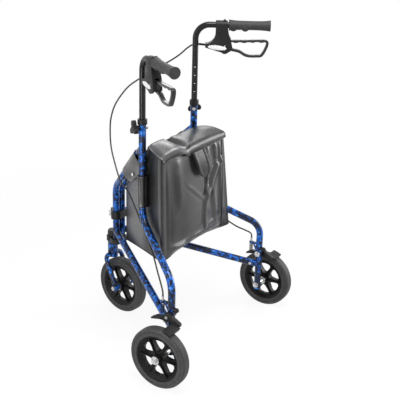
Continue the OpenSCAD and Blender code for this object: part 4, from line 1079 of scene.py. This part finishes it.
class ROLLATOR_OT_stage(bpy.types.Operator):
    """Sets the floor, light and camera"""

    bl_idname = "rollator.stage"
    bl_label = "Stage"

    def execute(self, context):
        self.camera(context.scene)
        self.floor()
        self.world(context.scene)
        self.lamps(context.scene)
        return {"FINISHED"}

    def camera(self, scene):
        """The photograph's view, for a square frame."""
        yaw, pitch, roll = math.radians(-58.01), math.radians(21.22), math.radians(1.54)
        forward = Vector((math.cos(yaw) * math.cos(pitch), math.sin(yaw) * math.cos(pitch), -math.sin(pitch)))
        right = Vector((math.sin(yaw), -math.cos(yaw), 0))
        up = right.cross(forward)
        right, up = (
            math.cos(roll) * right + math.sin(roll) * up, math.cos(roll) * up - math.sin(roll) * right)
        camera = bpy.data.objects.new("camera", bpy.data.cameras.new("camera"))
        scene.collection.objects.link(camera)
        camera.matrix_world = Matrix.Translation((-1.64806 + HINGE.x, 2.1367, 1.44412)) @ Matrix(
            (right, up, -forward)).transposed().to_4x4()
        camera.data.sensor_width = 36
        camera.data.lens = 79.13
        camera.data.clip_end = 500
        scene.camera = camera

    def floor(self):
        """A wide pale floor that keeps the shadow and shows as white."""
        bpy.ops.object.select_all(action="DESELECT")
        bpy.ops.mesh.primitive_plane_add(size=400, location=(0, 0, -0.0005))
        floor = bpy.context.object
        floor.name = "floor"
        f = Finish("floor_paper")
        grain = f.noise(3, 2, 0.5)
        f.done(Base_Color=f.mix(grain, (0.93, 0.93, 0.93), (0.95, 0.95, 0.95)), Roughness=0.9)
        reach = f.node("ShaderNodeVectorMath", {"operation": "LENGTH"}, {0: f.place}, output="Value")
        away = f.step(reach, 0.9, 2.0)
        glow = f.node("ShaderNodeEmission", None, {"Strength": 1.0})
        share = f.background_rays() * (0.9 + 0.1 * away)
        f.show("Material Output", share, Value(f, f.shader.outputs[0]), glow)
        floor.data.materials.append(f.material)

    def world(self, scene):
        """Soft light from all round, shown as white."""
        scene.view_settings.view_transform = "Standard"
        scene.world = bpy.data.worlds.new("studio")
        scene.world.use_nodes = True
        n = Nodes(scene.world.node_tree)
        soft = n.node("ShaderNodeBackground", None, {"Color": WHITE, "Strength": SOFT_LIGHT})
        white = n.node("ShaderNodeBackground", None, {"Color": WHITE, "Strength": 1.0})
        n.tree.nodes.remove(n.tree.nodes["Background"])
        n.show("World Output", n.background_rays(), soft, white)

    def lamps(self, scene):
        """Large soft lamps turned to the part."""
        for name, place, wide, high, power in LAMPS:
            light = bpy.data.lights.new(name, "AREA")
            light.shape, light.size, light.size_y, light.energy = "RECTANGLE", wide, high, power
            lamp = bpy.data.objects.new(name, light)
            scene.collection.objects.link(lamp)
            lamp.location = place
            lamp.rotation_euler = (LAMPS_AIM - Vector(place)).to_track_quat("-Z", "Y").to_euler()


class ROLLATOR_PT_panel(bpy.types.Panel):
    """Lists the rollator's pieces and values"""

    bl_idname = "ROLLATOR_PT_panel"
    bl_label = "Rollator"
    bl_space_type = "VIEW_3D"
    bl_region_type = "UI"
    bl_category = "Rollator"

    def draw(self, context):
        for group in (context.scene.rollator_finish, context.scene.rollator_sizes):
            box = self.layout.box()
            for name in group.__annotations__:
                box.prop(group, name)
        for operator in OPERATORS:
            self.layout.operator(operator.bl_idname)


OPERATORS = (
    ROLLATOR_OT_stage, ROLLATOR_OT_cables, ROLLATOR_OT_springs, ROLLATOR_OT_solids, ROLLATOR_OT_bag,
    ROLLATOR_OT_flap, ROLLATOR_OT_straps, ROLLATOR_OT_plates)
CLASSES = (RollatorFinish, RollatorSizes, *OPERATORS, ROLLATOR_PT_panel)


def register():
    for cls in CLASSES:
        bpy.utils.register_class(cls)
    bpy.types.Scene.rollator_finish = bpy.props.PointerProperty(type=RollatorFinish)
    bpy.types.Scene.rollator_sizes = bpy.props.PointerProperty(type=RollatorSizes)


def unregister():
    del bpy.types.Scene.rollator_sizes
    del bpy.types.Scene.rollator_finish
    for cls in reversed(CLASSES):
        bpy.utils.unregister_class(cls)


def main():
    register()
    bpy.ops.rollator.stage()
    bpy.ops.rollator.cables()
    bpy.ops.rollator.springs()
    bpy.ops.rollator.solids()
    bpy.ops.rollator.bag()
    bpy.ops.rollator.flap()
    bpy.ops.rollator.straps()
    bpy.ops.rollator.plates()


if __name__ == "__main__":
    main()
